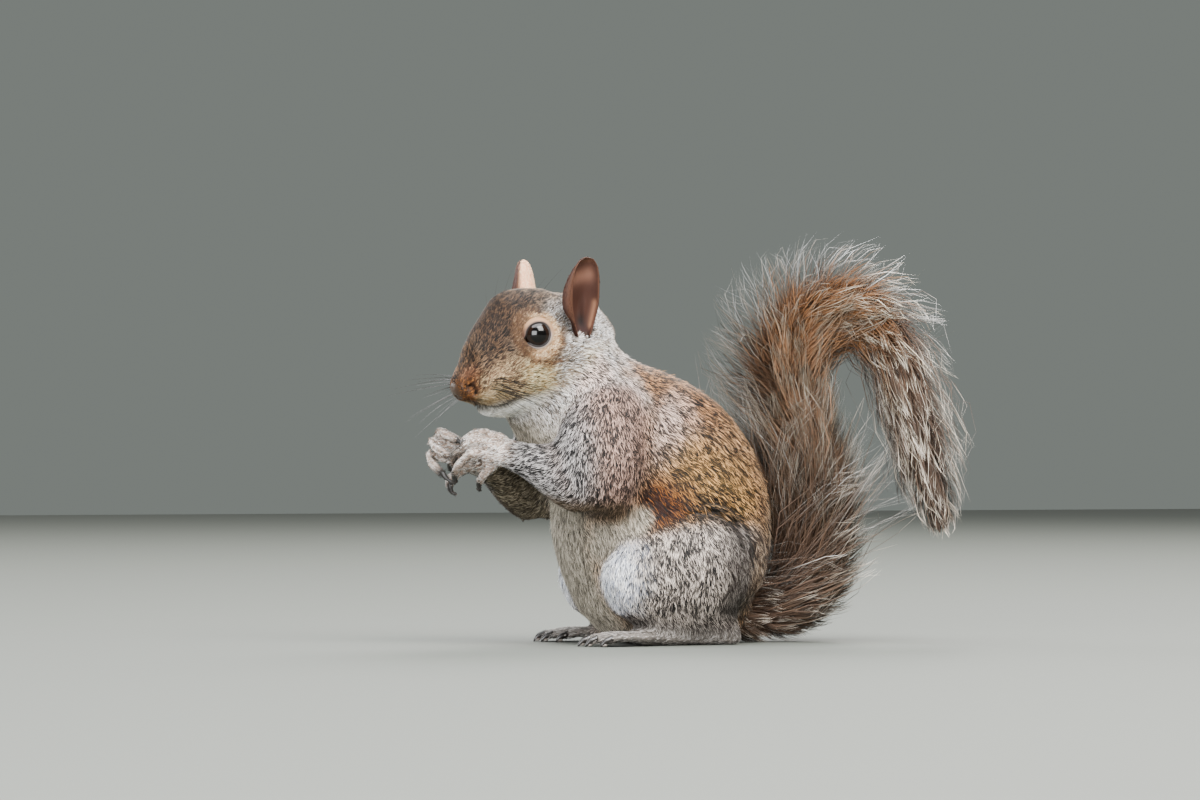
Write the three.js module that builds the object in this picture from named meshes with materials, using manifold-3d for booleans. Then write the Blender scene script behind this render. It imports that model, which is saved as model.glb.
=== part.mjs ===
// An eastern grey squirrel sitting up on its haunches, as a still life-size model.
// Millimetres, +Z up. The animal faces -Y, its left side is +X, and it sits on the plane Z = 0.
// Every solid reaches to the tips of the coat, so the tail is as thick as its brush of hair.
import * as THREE from "three";
import { mergeVertices } from "three/addons/utils/BufferGeometryUtils.js";
import Module from "manifold-3d";

const wasm = await Module();
wasm.setup();

// Driving dimensions
const GAP = 0.3; // clearance between neighbouring pieces
const LEFT = 1;
const RIGHT = -1;
const ACROSS = new THREE.Vector3(1, 0, 0); // from the animal's right to its left

const HEAD_AT = [2, -61, 133]; // midway between the roots of the ears
const HEAD_TURN = 12; // degrees to the animal's left
const HEAD_BOW = 30; // degrees that the long axis of the skull points down
const EYE_RADIUS = 6.4;
const EYE_AT = [12.9, -19.3, -0.6]; // centre of the left eyeball, in the head's frame
const EYE_DISH = 9.5; // radius of the shallow hollow that the short fur leaves round the eye
const EAR_HEIGHT = 32; // from the root inside the head to the tip
const EAR_HALF_WIDTH = 6.4;
const EAR_THICKNESS = 0.9;
const EAR_AT = { left: [18.5, -4.6, -10.5], right: [18.5, -6.4, -10.5] }; // their roots, in the head's frame
const EAR_SPLAY = 13; // degrees that the ears lean outwards
const EAR_PRICK = { left: 5, right: 3 }; // degrees that they lean forwards
const EAR_TURN = { left: 90, right: 48 }; // degrees from facing forwards to facing sideways

const TRUNK_HALF_WIDTH = 36;
const KNEE_HALF_SPAN = 29; // from the midline to the knee
const FOOT_LENGTH = 63; // heel to the tips of the toes, without the claws
const FINGER_RADIUS = 1.9;
const TOE_RADIUS = 2.1;
const CLAW_LENGTH = 5.2;
const TAIL_PIECES = 6;
const TAIL_LENGTH = 330; // along its middle

// Finishes
const finish = (color, roughness) => new THREE.MeshStandardMaterial({ color, roughness, metalness: 0 });
const GREY_FUR = finish("#8f857c", 0.9);
const BROWN_FUR = finish("#8a6d50", 0.9);
const WHITE_FUR = finish("#cfc8bb", 0.9);
const TAIL_FUR = finish("#8b7a69", 0.95);
const EAR_SKIN = finish("#9c6a55", 0.8);
const EYE_GLOSS = finish("#120d0b", 0.08);

// A smooth curve through rows of numbers (Catmull-Rom): the row at t from 0 to 1.
function rowAt(rows, t) {
  const span = Math.min(Math.max(t, 0), 1) * (rows.length - 1);
  const i = Math.min(Math.floor(span), rows.length - 2);
  const f = span - i;
  const near = (k) => rows[Math.min(Math.max(k, 0), rows.length - 1)];
  const [a, b, c, d] = [near(i - 1), near(i), near(i + 1), near(i + 2)];
  return b.map((_, k) => {
    const slope = c[k] - a[k];
    const bend = 2 * a[k] - 5 * b[k] + 4 * c[k] - d[k];
    const twist = 3 * b[k] - a[k] - 3 * c[k] + d[k];
    return b[k] + 0.5 * (slope * f + bend * f * f + twist * f * f * f);
  });
}

// A closed body lofted through stations of [x, y, z, half width, rise, drop]. The half width lies along `side`,
// the rise and the drop to either side of that. Each end is flat (bulge 0) or domed by bulge times its radius.
class LoftGeometry extends THREE.BufferGeometry {
  constructor(stations, options = {}) {
    super();
    const { side = ACROSS, sides = 16, rings = 10, from = 0, to = 1, bulge = [0.7, 0.7], grow = 0 } = options;
    const { squareness = 2, domeRings = 3 } = options;
    const points = [];
    const addRing = (t, scale, push) => {
      const [x, y, z, wide, rise, drop] = rowAt(stations, t);
      const ahead = new THREE.Vector3(...rowAt(stations, t + 0.01).slice(0, 3));
      const tangent = ahead.sub(new THREE.Vector3(...rowAt(stations, t - 0.01).slice(0, 3))).normalize();
      const across = side.clone().addScaledVector(tangent, -side.dot(tangent)).normalize();
      const up = new THREE.Vector3().crossVectors(tangent, across);
      const centre = new THREE.Vector3(x, y, z).addScaledVector(tangent, push * (Math.min(wide, rise, drop) + grow));
      for (let k = 0; k < sides; k++) {
        const angle = (2 * Math.PI * k) / sides;
        const [c, s] = [Math.cos(angle), Math.sin(angle)];
        const pull = (Math.abs(c) ** squareness + Math.abs(s) ** squareness) ** (-1 / squareness);
        const point = centre.clone().addScaledVector(across, c * pull * scale * (wide + grow));
        points.push(point.addScaledVector(up, s * pull * scale * ((s > 0 ? rise : drop) + grow)));
      }
      return centre;
    };
    const domes = (end, t, sign) => {
      if (!bulge[end]) return [];
      return Array.from({ length: domeRings }, (_, k) => {
        const angle = ((k + 1) / (domeRings + 1)) * (Math.PI / 2);
        return [t, Math.cos(angle), sign * bulge[end] * Math.sin(angle)];
      });
    };
    const plan = [...domes(0, from, -1).reverse()];
    for (let k = 0; k <= rings; k++) plan.push([from + ((to - from) * k) / rings, 1, 0]);
    plan.push(...domes(1, to, 1));
    plan.forEach((ring) => addRing(...ring));
    const poles = [
      [from, 0, -bulge[0]],
      [to, 0, bulge[1]],
    ].map((pole) => {
      addRing(...pole);
      points.length -= sides - 1;
      return points.length - 1;
    });
    const faces = [];
    for (let k = 0; k < sides; k++) {
      const next = (k + 1) % sides;
      for (let r = 0; r + 1 < plan.length; r++) {
        const [a, b] = [r * sides + k, r * sides + next];
        faces.push(a, b, a + sides, b, b + sides, a + sides);
      }
      const last = (plan.length - 1) * sides;
      faces.push(poles[0], next, k, poles[1], last + k, last + next);
    }
    this.setFromPoints(points);
    this.setIndex(faces);
  }
}

// A thin cupped leaf that stands on its root along Z and opens towards -Y: almost a tube at its root, where the
// edges curl round, and nearly flat at its rounded tip.
class EarGeometry extends THREE.BufferGeometry {
  constructor() {
    super();
    const [rows, columns] = [8, 6];
    const points = [];
    for (const skin of [0, EAR_THICKNESS]) {
      for (let i = 0; i <= rows; i++) {
        const u = i / rows;
        const tip = Math.sqrt(Math.max(0, 1 - Math.max(0, (u - 0.55) / 0.45) ** 2.2));
        const halfWidth = EAR_HALF_WIDTH * (0.66 + 0.34 * Math.sin(Math.min(u / 0.6, 1) * (Math.PI / 2))) * tip;
        const halfCurl = THREE.MathUtils.degToRad(112 - 66 * u);
        const radius = (halfWidth + 0.5) / Math.sin(halfCurl);
        for (let j = 0; j <= columns; j++) {
          const angle = ((2 * j) / columns - 1) * halfCurl;
          const depth = (radius + skin) * Math.cos(angle) - radius * Math.cos(halfCurl);
          points.push(new THREE.Vector3((radius + skin) * Math.sin(angle), depth, EAR_HEIGHT * u));
        }
      }
    }
    const faces = [];
    const stride = columns + 1;
    const sheet = (rows + 1) * stride;
    const quad = (a, b, c, d) => faces.push(a, b, c, a, c, d);
    for (let i = 0; i < rows; i++) {
      for (let j = 0; j < columns; j++) {
        const a = i * stride + j;
        quad(a, a + 1, a + stride + 1, a + stride);
        quad(sheet + a + 1, sheet + a, sheet + a + stride, sheet + a + stride + 1);
      }
      const [a, b] = [i * stride, i * stride + columns];
      quad(a, a + stride, sheet + a + stride, sheet + a);
      quad(b + stride, b, sheet + b, sheet + b + stride);
    }
    for (let j = 0; j < columns; j++) {
      const top = rows * stride + j;
      quad(j + 1, j, sheet + j, sheet + j + 1);
      quad(top, top + 1, sheet + top + 1, sheet + top);
    }
    this.setFromPoints(points);
    this.setIndex(faces);
  }
}

// A three.js geometry as a manifold solid, placed by an optional matrix and facing outwards.
function solidOf(geometry, matrix = new THREE.Matrix4()) {
  const bare = new THREE.BufferGeometry();
  bare.setAttribute("position", geometry.getAttribute("position").clone());
  bare.setIndex(geometry.index ? geometry.index.clone() : null);
  const merged = mergeVertices(bare.applyMatrix4(matrix), 1e-4);
  const corners = merged.index.array;
  const build = (flip) => {
    const triVerts = [];
    for (let i = 0; i < corners.length; i += 3) {
      const [a, b, c] = [corners[i], corners[i + 1], corners[i + 2]];
      if (a !== b && b !== c && c !== a) triVerts.push(a, ...(flip ? [c, b] : [b, c]));
    }
    const vertProperties = Float32Array.from(merged.getAttribute("position").array);
    return new wasm.Manifold(new wasm.Mesh({ numProp: 3, vertProperties, triVerts: Uint32Array.from(triVerts) }));
  };
  const made = build(false);
  return made.volume() < 0 ? build(true) : made;
}

const join = (solids) => solids.reduce((sum, solid) => sum.add(solid));

// The largest piece of what is left of a solid once its neighbours are taken away.
function carve(solid, ...neighbours) {
  const left = neighbours.reduce((rest, neighbour) => rest.subtract(neighbour), solid);
  return left.decompose().sort((a, b) => b.volume() - a.volume())[0];
}

function meshOf(name, solid, material) {
  const { vertProperties, triVerts, numProp } = solid.getMesh();
  const position = new Float32Array((vertProperties.length / numProp) * 3);
  for (let i = 0; i * numProp < vertProperties.length; i++) {
    position.set(vertProperties.subarray(i * numProp, i * numProp + 3), i * 3);
  }
  const geometry = new THREE.BufferGeometry();
  geometry.setAttribute("position", new THREE.BufferAttribute(position, 3));
  geometry.setIndex(new THREE.BufferAttribute(Uint32Array.from(triVerts), 1));
  geometry.computeVertexNormals();
  const mesh = new THREE.Mesh(geometry, material);
  mesh.name = name;
  return mesh;
}

// Everything below the floor is cut off, which leaves small flats on the feet, the rump and the tail.
const floor = solidOf(new THREE.BoxGeometry(400, 400, 60), new THREE.Matrix4().makeTranslation(0, 0, -30));
const onFloor = (solid) => carve(solid, floor);

const squirrel = new THREE.Group();
const head = new THREE.Group();
head.position.set(...HEAD_AT);
head.rotation.set(THREE.MathUtils.degToRad(HEAD_BOW), 0, THREE.MathUtils.degToRad(HEAD_TURN), "ZXY");
head.updateMatrix();
squirrel.add(head);

// Body: hunched from the rump on the floor up to the nape. Rise is the back, drop the belly, chest and throat.
// The trunk and the neck are two lengths of it with a flat cut between them.
const BODY = [
  [0, -4, 8, 23, 26, 26],
  [0, -9, 21, 34, 38, 40],
  [0, -15, 40, TRUNK_HALF_WIDTH, 45, 44],
  [0, -20, 58, 34, 46, 44],
  [0, -27, 74, 31, 41, 40],
  [0, -37, 88, 27, 31, 35],
  [0.7, -47, 101, 22, 20.5, 36],
  [1.5, -57, 116, 18, 16.5, 33],
  [2, -61, 127, 15, 13, 24],
];
const NECK_STARTS = 0.64; // share of the body's length
const bodySolid = (grow = 0) =>
  solidOf(new LoftGeometry(BODY, { sides: 18, rings: 12, bulge: [0.6, 0.2], squareness: 2.1, domeRings: 2, grow }));
const bodyGrown = bodySolid(GAP);

// Head, in its own frame: from the nape to the nose.
const HEAD = [
  [0, 9.5, -8, 14, 12.6, 16],
  [0, 3, -10, 17.5, 19.2, 20.5],
  [0, -7, -11, 19.5, 25.5, 22],
  [0, -18, -11, 19, 29, 20.5],
  [0, -29, -10, 16, 27.5, 18],
  [0, -39, -8, 12.5, 20.5, 16.5],
  [0, -47, -6.6, 10.4, 13, 12.2],
  [0, -51.2, -5.2, 8.2, 8.4, 8.8],
  [0, -53.8, -4.2, 5.6, 4.6, 5.2],
];
const headLoft = (grow = 0) => new LoftGeometry(HEAD, { sides: 18, rings: 11, bulge: [0.5, 0.5], domeRings: 2, grow });
const mirrored = ([x, y, z], s) => [s * x, y, z];

function eyeSocket(s) {
  const hole = new THREE.SphereGeometry(EYE_RADIUS + GAP, 12, 7);
  const at = new THREE.Vector3(...mirrored(EYE_AT, s));
  const place = new THREE.Matrix4().makeTranslation(at.x, at.y, at.z);
  const dish = new THREE.SphereGeometry(EYE_DISH, 10, 6);
  const outward = new THREE.Matrix4().makeTranslation(at.x + s * 10.6, at.y - 3.4, at.z + 1.2);
  return join([solidOf(hole, place), solidOf(dish, outward)]);
}

const headSolid = carve(solidOf(headLoft()), eyeSocket(LEFT), eyeSocket(RIGHT));
head.add(meshOf("head", headSolid, GREY_FUR));

for (const [name, s] of [
  ["eye_left", LEFT],
  ["eye_right", RIGHT],
]) {
  const eye = new THREE.Mesh(new THREE.SphereGeometry(EYE_RADIUS, 12, 7), EYE_GLOSS);
  eye.name = name;
  eye.position.set(...mirrored(EYE_AT, s));
  head.add(eye);
}

// Ears: cupped shells that open sideways, rooted in the sides of the head.
const headGrown = solidOf(headLoft(GAP));
for (const [side, s] of [
  ["left", LEFT],
  ["right", RIGHT],
]) {
  const place = new THREE.Object3D();
  place.position.set(...mirrored(EAR_AT[side], s));
  const turns = [EAR_PRICK[side] - HEAD_BOW, s * EAR_SPLAY, s * EAR_TURN[side]].map(THREE.MathUtils.degToRad);
  place.rotation.set(...turns, "XYZ");
  place.updateMatrix();
  head.add(meshOf(`ear_${side}`, carve(solidOf(new EarGeometry(), place.matrix), headGrown), EAR_SKIN));
}

const headInWorld = solidOf(headLoft(GAP), head.matrix);
const collarAt = new THREE.Vector3(...rowAt(BODY, NECK_STARTS).slice(0, 3));
const collarFaces = new THREE.Vector3(...rowAt(BODY, NECK_STARTS + 0.01).slice(0, 3)).sub(collarAt).normalize();
const turned = new THREE.Quaternion().setFromUnitVectors(new THREE.Vector3(0, 0, 1), collarFaces);
const collar = new THREE.Matrix4().compose(collarAt, turned, new THREE.Vector3(1, 1, 1));
const slit = solidOf(new THREE.BoxGeometry(120, 120, GAP), collar);
const [trunkSolid, neckSolid] = bodySolid()
  .subtract(slit)
  .decompose()
  .sort((a, b) => b.volume() - a.volume());
squirrel.add(meshOf("trunk", onFloor(carve(trunkSolid, headInWorld)), BROWN_FUR));
squirrel.add(meshOf("neck", carve(neckSolid, headInWorld), GREY_FUR));

// A curved claw that grows from `root`, starts along `heading` and hooks towards `hook`.
function claw(root, heading, hook) {
  const station = (along, bent, radius) => {
    const at = root.clone().addScaledVector(heading, along * CLAW_LENGTH).addScaledVector(hook, bent * CLAW_LENGTH);
    return [...at.toArray(), radius, radius, radius];
  };
  const stations = [station(-0.35, 0, 1), station(0.3, 0.04, 0.95), station(0.7, 0.24, 0.65), station(0.9, 0.52, 0.3)];
  return solidOf(new LoftGeometry(stations, { sides: 4, rings: 3, bulge: [0, 0.4], domeRings: 0 }));
}

// A digit through its joints, with a claw at its tip that points a little further down than the digit does.
function digit(joints, radius, hook) {
  const stations = joints.map((joint, k) => {
    const r = radius * [1.1, 1, 0.95, 0.82][k];
    return [...joint, r, r, r];
  });
  const finger = solidOf(new LoftGeometry(stations, { sides: 5, rings: 3, bulge: [0, 0.8], domeRings: 1 }));
  const [before, tip] = joints.slice(-2).map((joint) => new THREE.Vector3(...joint));
  const heading = tip.clone().sub(before).normalize().add(new THREE.Vector3(0, 0, -0.4)).normalize();
  return finger.add(claw(tip, heading, hook));
}

// Arms: folded so that the paws meet in front of the chest, as if round a nut. The joints of each finger are
// given from the wrist, from the upper finger to the lower one.
const ARMS = {
  left: {
    s: LEFT,
    elbow: [31, -53, 61],
    wrist: [13, -85, 76],
    fingers: [
      [[-2, -5, 6], [-1, -9, 8], [-2, -12, 8], [-5, -15.5, 5.5]],
      [[-1, -6, 4], [0, -14.5, 4.5], [-5, -19.5, 0.5], [-9.5, -20.5, -3.5]],
      [[-1, -6, 0.5], [0.5, -15.5, -0.5], [-4, -18.5, -4.5], [-8.5, -19, -8]],
      [[-2, -2, -2], [-1, -6, -5.5], [-3, -8.5, -8.5], [-5.5, -9.5, -11]],
    ],
  },
  right: {
    s: RIGHT,
    elbow: [-31, -56, 57],
    wrist: [-12, -90, 73],
    fingers: [
      [[0, -5, 6], [1, -16, 11.5], [5, -14.5, 10.5], [9.5, -10.5, 8]],
      [[0, -6, 3], [0, -19, 7.5], [5, -18.5, 5], [10, -14, 1.5]],
      [[0, -6, 0], [0.5, -20, 2], [4.5, -19.5, -1.5], [9, -16.5, -5.5]],
      [[1, -2, -2], [1, -8, -5], [3, -12, -7.5], [6, -13, -10]],
    ],
  },
};

function upperArm({ s, elbow }, grow = 0) {
  const stations = [
    [s * 17, -36, 96, 10, 16, 16],
    [s * 24, elbow[1] + 6, 84, 12.5, 20, 17],
    [elbow[0] - s, elbow[1] + 2.5, elbow[2] + 7, 12, 17.5, 15.5],
    [elbow[0] - s * 1.5, elbow[1], elbow[2] - 3, 9.5, 13, 12],
  ];
  return solidOf(new LoftGeometry(stations, { sides: 12, rings: 5, bulge: [0.5, 0.5], domeRings: 2, grow }));
}

function forearm({ elbow, wrist }, grow = 0) {
  const toward = (share, lift) => elbow.map((from, k) => from + share * (wrist[k] - from) + (k === 2 ? lift : 0));
  const stations = [
    [...toward(0.1, 0), 9, 14, 13],
    [...toward(0.4, 1), 9, 12.5, 12.5],
    [...toward(0.72, 1), 7, 8, 8.5],
    [...toward(1, 0), 5.2, 5.4, 5.6],
  ];
  return solidOf(new LoftGeometry(stations, { sides: 10, rings: 5, bulge: [0.5, 0.4], domeRings: 1, grow }));
}

function hand({ s, wrist, fingers }) {
  const [x, y, z] = wrist;
  const palm = [
    [x, y + 1, z, 4, 5, 5],
    [x - s * 0.5, y - 4, z + 1, 3.8, 7.5, 6.5],
    [x - s * 1, y - 8, z + 2, 2.8, 7, 6.5],
  ];
  const inwards = new THREE.Vector3(-s * 0.5, 0.8, 0.1).normalize();
  const digits = fingers.map((joints) => {
    const placed = joints.map((joint) => joint.map((value, k) => value + wrist[k]));
    return digit(placed, FINGER_RADIUS, inwards);
  });
  return join([solidOf(new LoftGeometry(palm, { sides: 8, rings: 3, bulge: [0.4, 0.4], domeRings: 1 })), ...digits]);
}

const limbs = new Map();
for (const [side, arm] of Object.entries(ARMS)) {
  limbs.set(`upper_arm_${side}`, carve(upperArm(arm), bodyGrown, headInWorld));
  limbs.set(`forearm_${side}`, carve(forearm(arm), upperArm(arm, GAP), bodyGrown));
  limbs.set(`hand_${side}`, carve(hand(arm), forearm(arm, GAP)));
}

// Hind legs: thigh and lower leg folded flat, the long foot on the floor beneath them.
function thigh(s, grow = 0) {
  const stations = [
    [s * 22, 12, 33, 11, 17, 15],
    [s * 27, -2, 32, 15, 22, 20],
    [s * 29, -18, 30, 15.5, 23, 21],
    [s * KNEE_HALF_SPAN, -34, 27, 13.5, 18.5, 18],
    [s * KNEE_HALF_SPAN, -44, 24, 10, 12, 13],
  ];
  return solidOf(new LoftGeometry(stations, { sides: 12, rings: 6, bulge: [0.6, 0.6], domeRings: 2, grow }));
}

function lowerLeg(s, grow = 0) {
  const stations = [
    [s * 28, -42, 19, 9, 8, 10],
    [s * 28, -24, 13, 9.5, 8, 9],
    [s * 26, -4, 9, 7, 6, 6.5],
    [s * 25, 5, 7, 5.5, 5.5, 5],
  ];
  return solidOf(new LoftGeometry(stations, { sides: 8, rings: 4, bulge: [0.4, 0.6], domeRings: 1, grow }));
}

function hindFoot(s) {
  const heel = 6;
  const ball = heel - FOOT_LENGTH * 0.66;
  const sole = [
    [s * 25, heel, 4, 4.6, 4.2, 4.2],
    [s * 26, heel - 14, 4, 5.4, 4.6, 4.2],
    [s * 28, ball + 10, 3.8, 7, 4.6, 4],
    [s * 29, ball, 3.2, 9, 4, 3.4],
  ];
  const solids = [solidOf(new LoftGeometry(sole, { sides: 8, rings: 3, bulge: [0.6, 0.3], domeRings: 1 }))];
  for (let k = -2; k <= 2; k++) {
    const length = FOOT_LENGTH * (0.34 - 0.025 * k * k);
    const root = s * (29 + 3.7 * k);
    const joints = [
      [root, ball + 1.5, 3.2],
      [root + s * 0.4 * k, ball - length * 0.4, 4],
      [root + s * 0.8 * k, ball - length * 0.75, 3.4],
      [root + s * 0.9 * k, ball - length, 2.5],
    ];
    solids.push(digit(joints, TOE_RADIUS, new THREE.Vector3(0, 0.2, -1).normalize()));
  }
  return join(solids);
}

for (const [side, s] of [
  ["left", LEFT],
  ["right", RIGHT],
]) {
  limbs.set(`thigh_${side}`, onFloor(carve(thigh(s), bodyGrown)));
  limbs.set(`lower_leg_${side}`, onFloor(carve(lowerLeg(s), thigh(s, GAP), bodyGrown)));
  limbs.set(`hind_foot_${side}`, onFloor(carve(hindFoot(s), thigh(s, GAP), lowerLeg(s, GAP), bodyGrown)));
}
limbs.forEach((solid, name) => squirrel.add(meshOf(name, solid, name.startsWith("h") ? WHITE_FUR : GREY_FUR)));

// Tail: up behind the back, over in a hook and down. Rise is the hollow of the hook, drop its outside.
const TAIL = [
  [0, 24, 9, 9, 9, 8],
  [0, 43, 17, 17, 17, 15],
  [-2, 51, 34, 20, 19, 21],
  [-4, 52, 54, 21, 19, 23],
  [-4, 48, 74, 21, 21, 25],
  [-3, 41, 94, 21, 20, 26],
  [0, 36, 112, 20, 19, 32],
  [5, 40, 128, 19, 17, 32],
  [12, 53, 136, 18, 16, 29],
  [18, 67, 131, 17, 13, 26],
  [22, 76, 115, 16, 12, 22],
  [25, 81, 95, 15, 13, 19],
  [27, 86, 75, 13, 14, 16],
  [28, 90, 57, 9, 10, 11],
  [28, 92, 45, 4, 4, 4],
];
for (let k = 0; k < TAIL_PIECES; k++) {
  const cut = GAP / 2 / TAIL_LENGTH;
  const [first, last] = [k === 0, k === TAIL_PIECES - 1];
  const options = {
    sides: 12,
    rings: 6,
    from: k / TAIL_PIECES + (first ? 0 : cut),
    to: (k + 1) / TAIL_PIECES - (last ? 0 : cut),
    bulge: [first ? 0.6 : 0, last ? 0.9 : 0],
    side: new THREE.Vector3(0.95, -0.31, 0),
  };
  const length = solidOf(new LoftGeometry(TAIL, options));
  squirrel.add(meshOf(`tail_${k + 1}`, onFloor(carve(length, bodyGrown)), TAIL_FUR));
}

// The part's origin is the middle of its box, on the floor.
const box = new THREE.Box3().setFromObject(squirrel, true);
const part = new THREE.Group();
squirrel.position.set(-(box.min.x + box.max.x) / 2, -(box.min.y + box.max.y) / 2, -box.min.z);
part.add(squirrel);

export default part;
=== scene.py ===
import math

import bmesh
import bpy
import numpy as np
from mathutils import Matrix, Vector
from mathutils.bvhtree import BVHTree
from mathutils.kdtree import KDTree


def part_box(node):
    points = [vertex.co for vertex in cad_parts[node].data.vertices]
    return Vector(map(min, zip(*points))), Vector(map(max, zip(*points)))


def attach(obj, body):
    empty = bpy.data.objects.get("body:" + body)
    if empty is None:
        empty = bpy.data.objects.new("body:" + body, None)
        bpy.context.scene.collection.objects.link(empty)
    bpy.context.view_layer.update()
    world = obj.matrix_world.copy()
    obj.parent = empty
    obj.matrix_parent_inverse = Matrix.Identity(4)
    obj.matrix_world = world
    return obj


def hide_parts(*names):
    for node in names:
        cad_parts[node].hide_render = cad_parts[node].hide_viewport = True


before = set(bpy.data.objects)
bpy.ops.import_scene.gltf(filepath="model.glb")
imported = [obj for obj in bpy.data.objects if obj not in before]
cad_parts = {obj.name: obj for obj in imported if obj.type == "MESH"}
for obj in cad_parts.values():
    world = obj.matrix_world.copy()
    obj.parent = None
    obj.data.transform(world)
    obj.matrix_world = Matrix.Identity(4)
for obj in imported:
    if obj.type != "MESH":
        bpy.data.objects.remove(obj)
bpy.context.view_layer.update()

# --------------------------------------------------------------------------------------------------
# The animal's frame: an eastern grey squirrel sits up, facing -Y with its left side to +X. Its head turns
# 12 degrees to the left and bows 30, and every mark on the face is placed by its nose and eyes.

MM = 0.001
EYES = {side: np.array(sum(map(Vector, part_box(f"eye_{side}")), Vector())) / 2 for side in ("left", "right")}
EYE_RADIUS = 6.4 * MM
HEAD_TURN = math.radians(12)
HEAD_BOW = math.radians(30)
head_turned = Matrix.Rotation(HEAD_TURN, 3, "Z") @ Matrix.Rotation(HEAD_BOW, 3, "X")
HEAD_AXES = np.array(head_turned).T * np.array([[1], [-1], [1]])  # rows: left, forward, up
GAZE = (0.93, 0.33, 0.17)  # the way the left eye looks, in the head's frame
BROW = (EYES["left"] + EYES["right"]) / 2 - MM * HEAD_AXES[1]


def in_head(points):
    """Places in the head's own frame: millimetres to the left, forward and up from between the eyes."""
    return (np.atleast_2d(points) - BROW) @ HEAD_AXES.T / MM


def from_head(left, forward, up):
    """A place given in the head's frame, in metres in the world."""
    return BROW + np.array([left, forward, up]) * MM @ HEAD_AXES


def halved(places):
    """Places with the right half of the body laid over the left."""
    return np.column_stack([np.abs(places[:, 0]), places[:, 1:]])


def off_centre(places, centre, reach):
    """How far each place lies from a centre, where 1 is the reach along each axis."""
    return np.linalg.norm((places - np.array(centre)) / np.array(reach), axis=1)


def laid_on(tree, rows):
    """A line of points in the head's frame, each moved to the nearest place on a surface."""
    return [in_head(tree.find_nearest(Vector(from_head(*row)))[0])[0] for row in rows]


def nearest(places, marks, numbers):
    """The number of the mark that lies nearest to each place."""
    tree = KDTree(len(marks))
    for mark, number in zip(marks, numbers):
        tree.insert(mark, number)
    tree.balance()
    return np.array([tree.find(place)[1] for place in places])


def unit(vectors):
    """Vectors brought to length 1."""
    return vectors / np.maximum(np.linalg.norm(vectors, axis=-1, keepdims=True), 1e-12)


def ease(low, high, values):
    """0 below low and 1 above high, with a smooth rise between them."""
    t = np.clip((values - low) / (high - low), 0, 1)
    return t * t * (3 - 2 * t)


def near_line(places, rows, width):
    """How close each place is to a line of points: 1 on it, and next to nothing beyond twice the width."""
    gap = np.full(len(places), 99.0)
    for a, b in zip(np.array(rows[:-1], float), np.array(rows[1:], float)):
        share = np.clip((places - a) @ (b - a) / ((b - a) @ (b - a)), 0, 1)
        gap = np.minimum(gap, np.linalg.norm(places - a - share[:, None] * (b - a), axis=1))
    return np.exp(-((gap / width) ** 2))


# --------------------------------------------------------------------------------------------------
# Body surface: head, body, legs and feet grown into one closed form, as far out as the tips of the coat.
# A slim core of flesh runs up the middle of the tail. The joins between the solids are smoothed over.

COAT_DEPTH = {
    "trunk": 3.4, "neck": 2.8, "head": 1.3, "ear_left": 0.4, "ear_right": 0.4,
    "upper_arm_left": 2.5, "upper_arm_right": 2.5, "forearm_left": 1.9, "forearm_right": 1.9,
    "hand_left": 0.5, "hand_right": 0.5, "thigh_left": 3.2, "thigh_right": 3.2,
    "lower_leg_left": 2.0, "lower_leg_right": 2.0, "hind_foot_left": 0.7, "hind_foot_right": 0.7, "tail": 0.8,
}  # millimetres of fur over each part
PARTS = list(COAT_DEPTH)
FLESH = PARTS[:-1]
BRUSH = [f"tail_{k}" for k in range(1, 7)]
JOIN_GAP = 0.36 * MM  # grows each solid across the gap to its neighbour
SKIN_GRAIN = 1.15 * MM  # faces of the grown form
HAND_GRAIN = 0.48 * MM
WRISTS = {"left": (13, -79.9, 76), "right": (-12, -84.9, 73)}  # millimetres
ELBOWS = {"left": (31, -47.9, 61), "right": (-31, -50.9, 57)}
EAR_ROOT = {"left": (18.5, -14.5, -9.9), "right": (18.5, -7.6, -6.9)}  # in the head's frame
EAR_HEIGHT = 32
EAR_HALF_WIDTH = 5.5
EAR_SPLAY = {"left": 13, "right": 6}  # degrees outwards
EAR_PRICK = {"left": 5, "right": -4}  # degrees forwards
EAR_TURN = {"left": 90, "right": 62}  # degrees from facing forwards to facing sideways
TAIL_MIDDLE = [
    (0, 10, 14), (0, 29, 10), (0, 48, 17), (-2, 56, 34), (-4, 57, 54), (-4, 53, 74), (-3, 46, 94),
    (0, 41, 112), (5, 45, 128), (12, 58, 136), (18, 72, 131), (22, 81, 115), (25, 86, 95), (27, 91, 75),
    (28, 95, 57), (28, 97, 48),
]  # millimetres, from inside the rump, up behind the back, over and down to the tip
TAIL_CORE = (5.5, 3.0)  # radius of the flesh at the tail's root and tip, in millimetres


def tail_at(shares):
    """The tail's middle at shares of its length: places and directions, on a smooth curve."""
    rows = np.array(TAIL_MIDDLE) * MM
    steps = np.linspace(0, len(rows) - 1, 600)
    i = np.minimum(steps.astype(int), len(rows) - 2)
    f = (steps - i)[:, None]
    a, b, c, d = (rows[np.clip(i + k, 0, len(rows) - 1)] for k in (-1, 0, 1, 2))
    curve = b + f / 2 * (c - a + f * (2 * a - 5 * b + 4 * c - d + f * (3 * b - a - 3 * c + d)))
    run = np.concatenate([[0], np.cumsum(np.linalg.norm(np.diff(curve, axis=0), axis=1))])
    look = lambda t: np.stack([np.interp(np.clip(t, 0, 1) * run[-1], run, curve[:, k]) for k in range(3)], 1)
    return look(shares), unit(look(shares + 0.004) - look(shares - 0.004))


def around(tangents):
    """Two directions square to the tail: across it, and the one that faces the hollow of its hook."""
    side = np.array([0.951, -0.309, 0.0])
    across = unit(side - tangents * (tangents @ side)[:, None])
    return across, np.cross(tangents, across)


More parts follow.
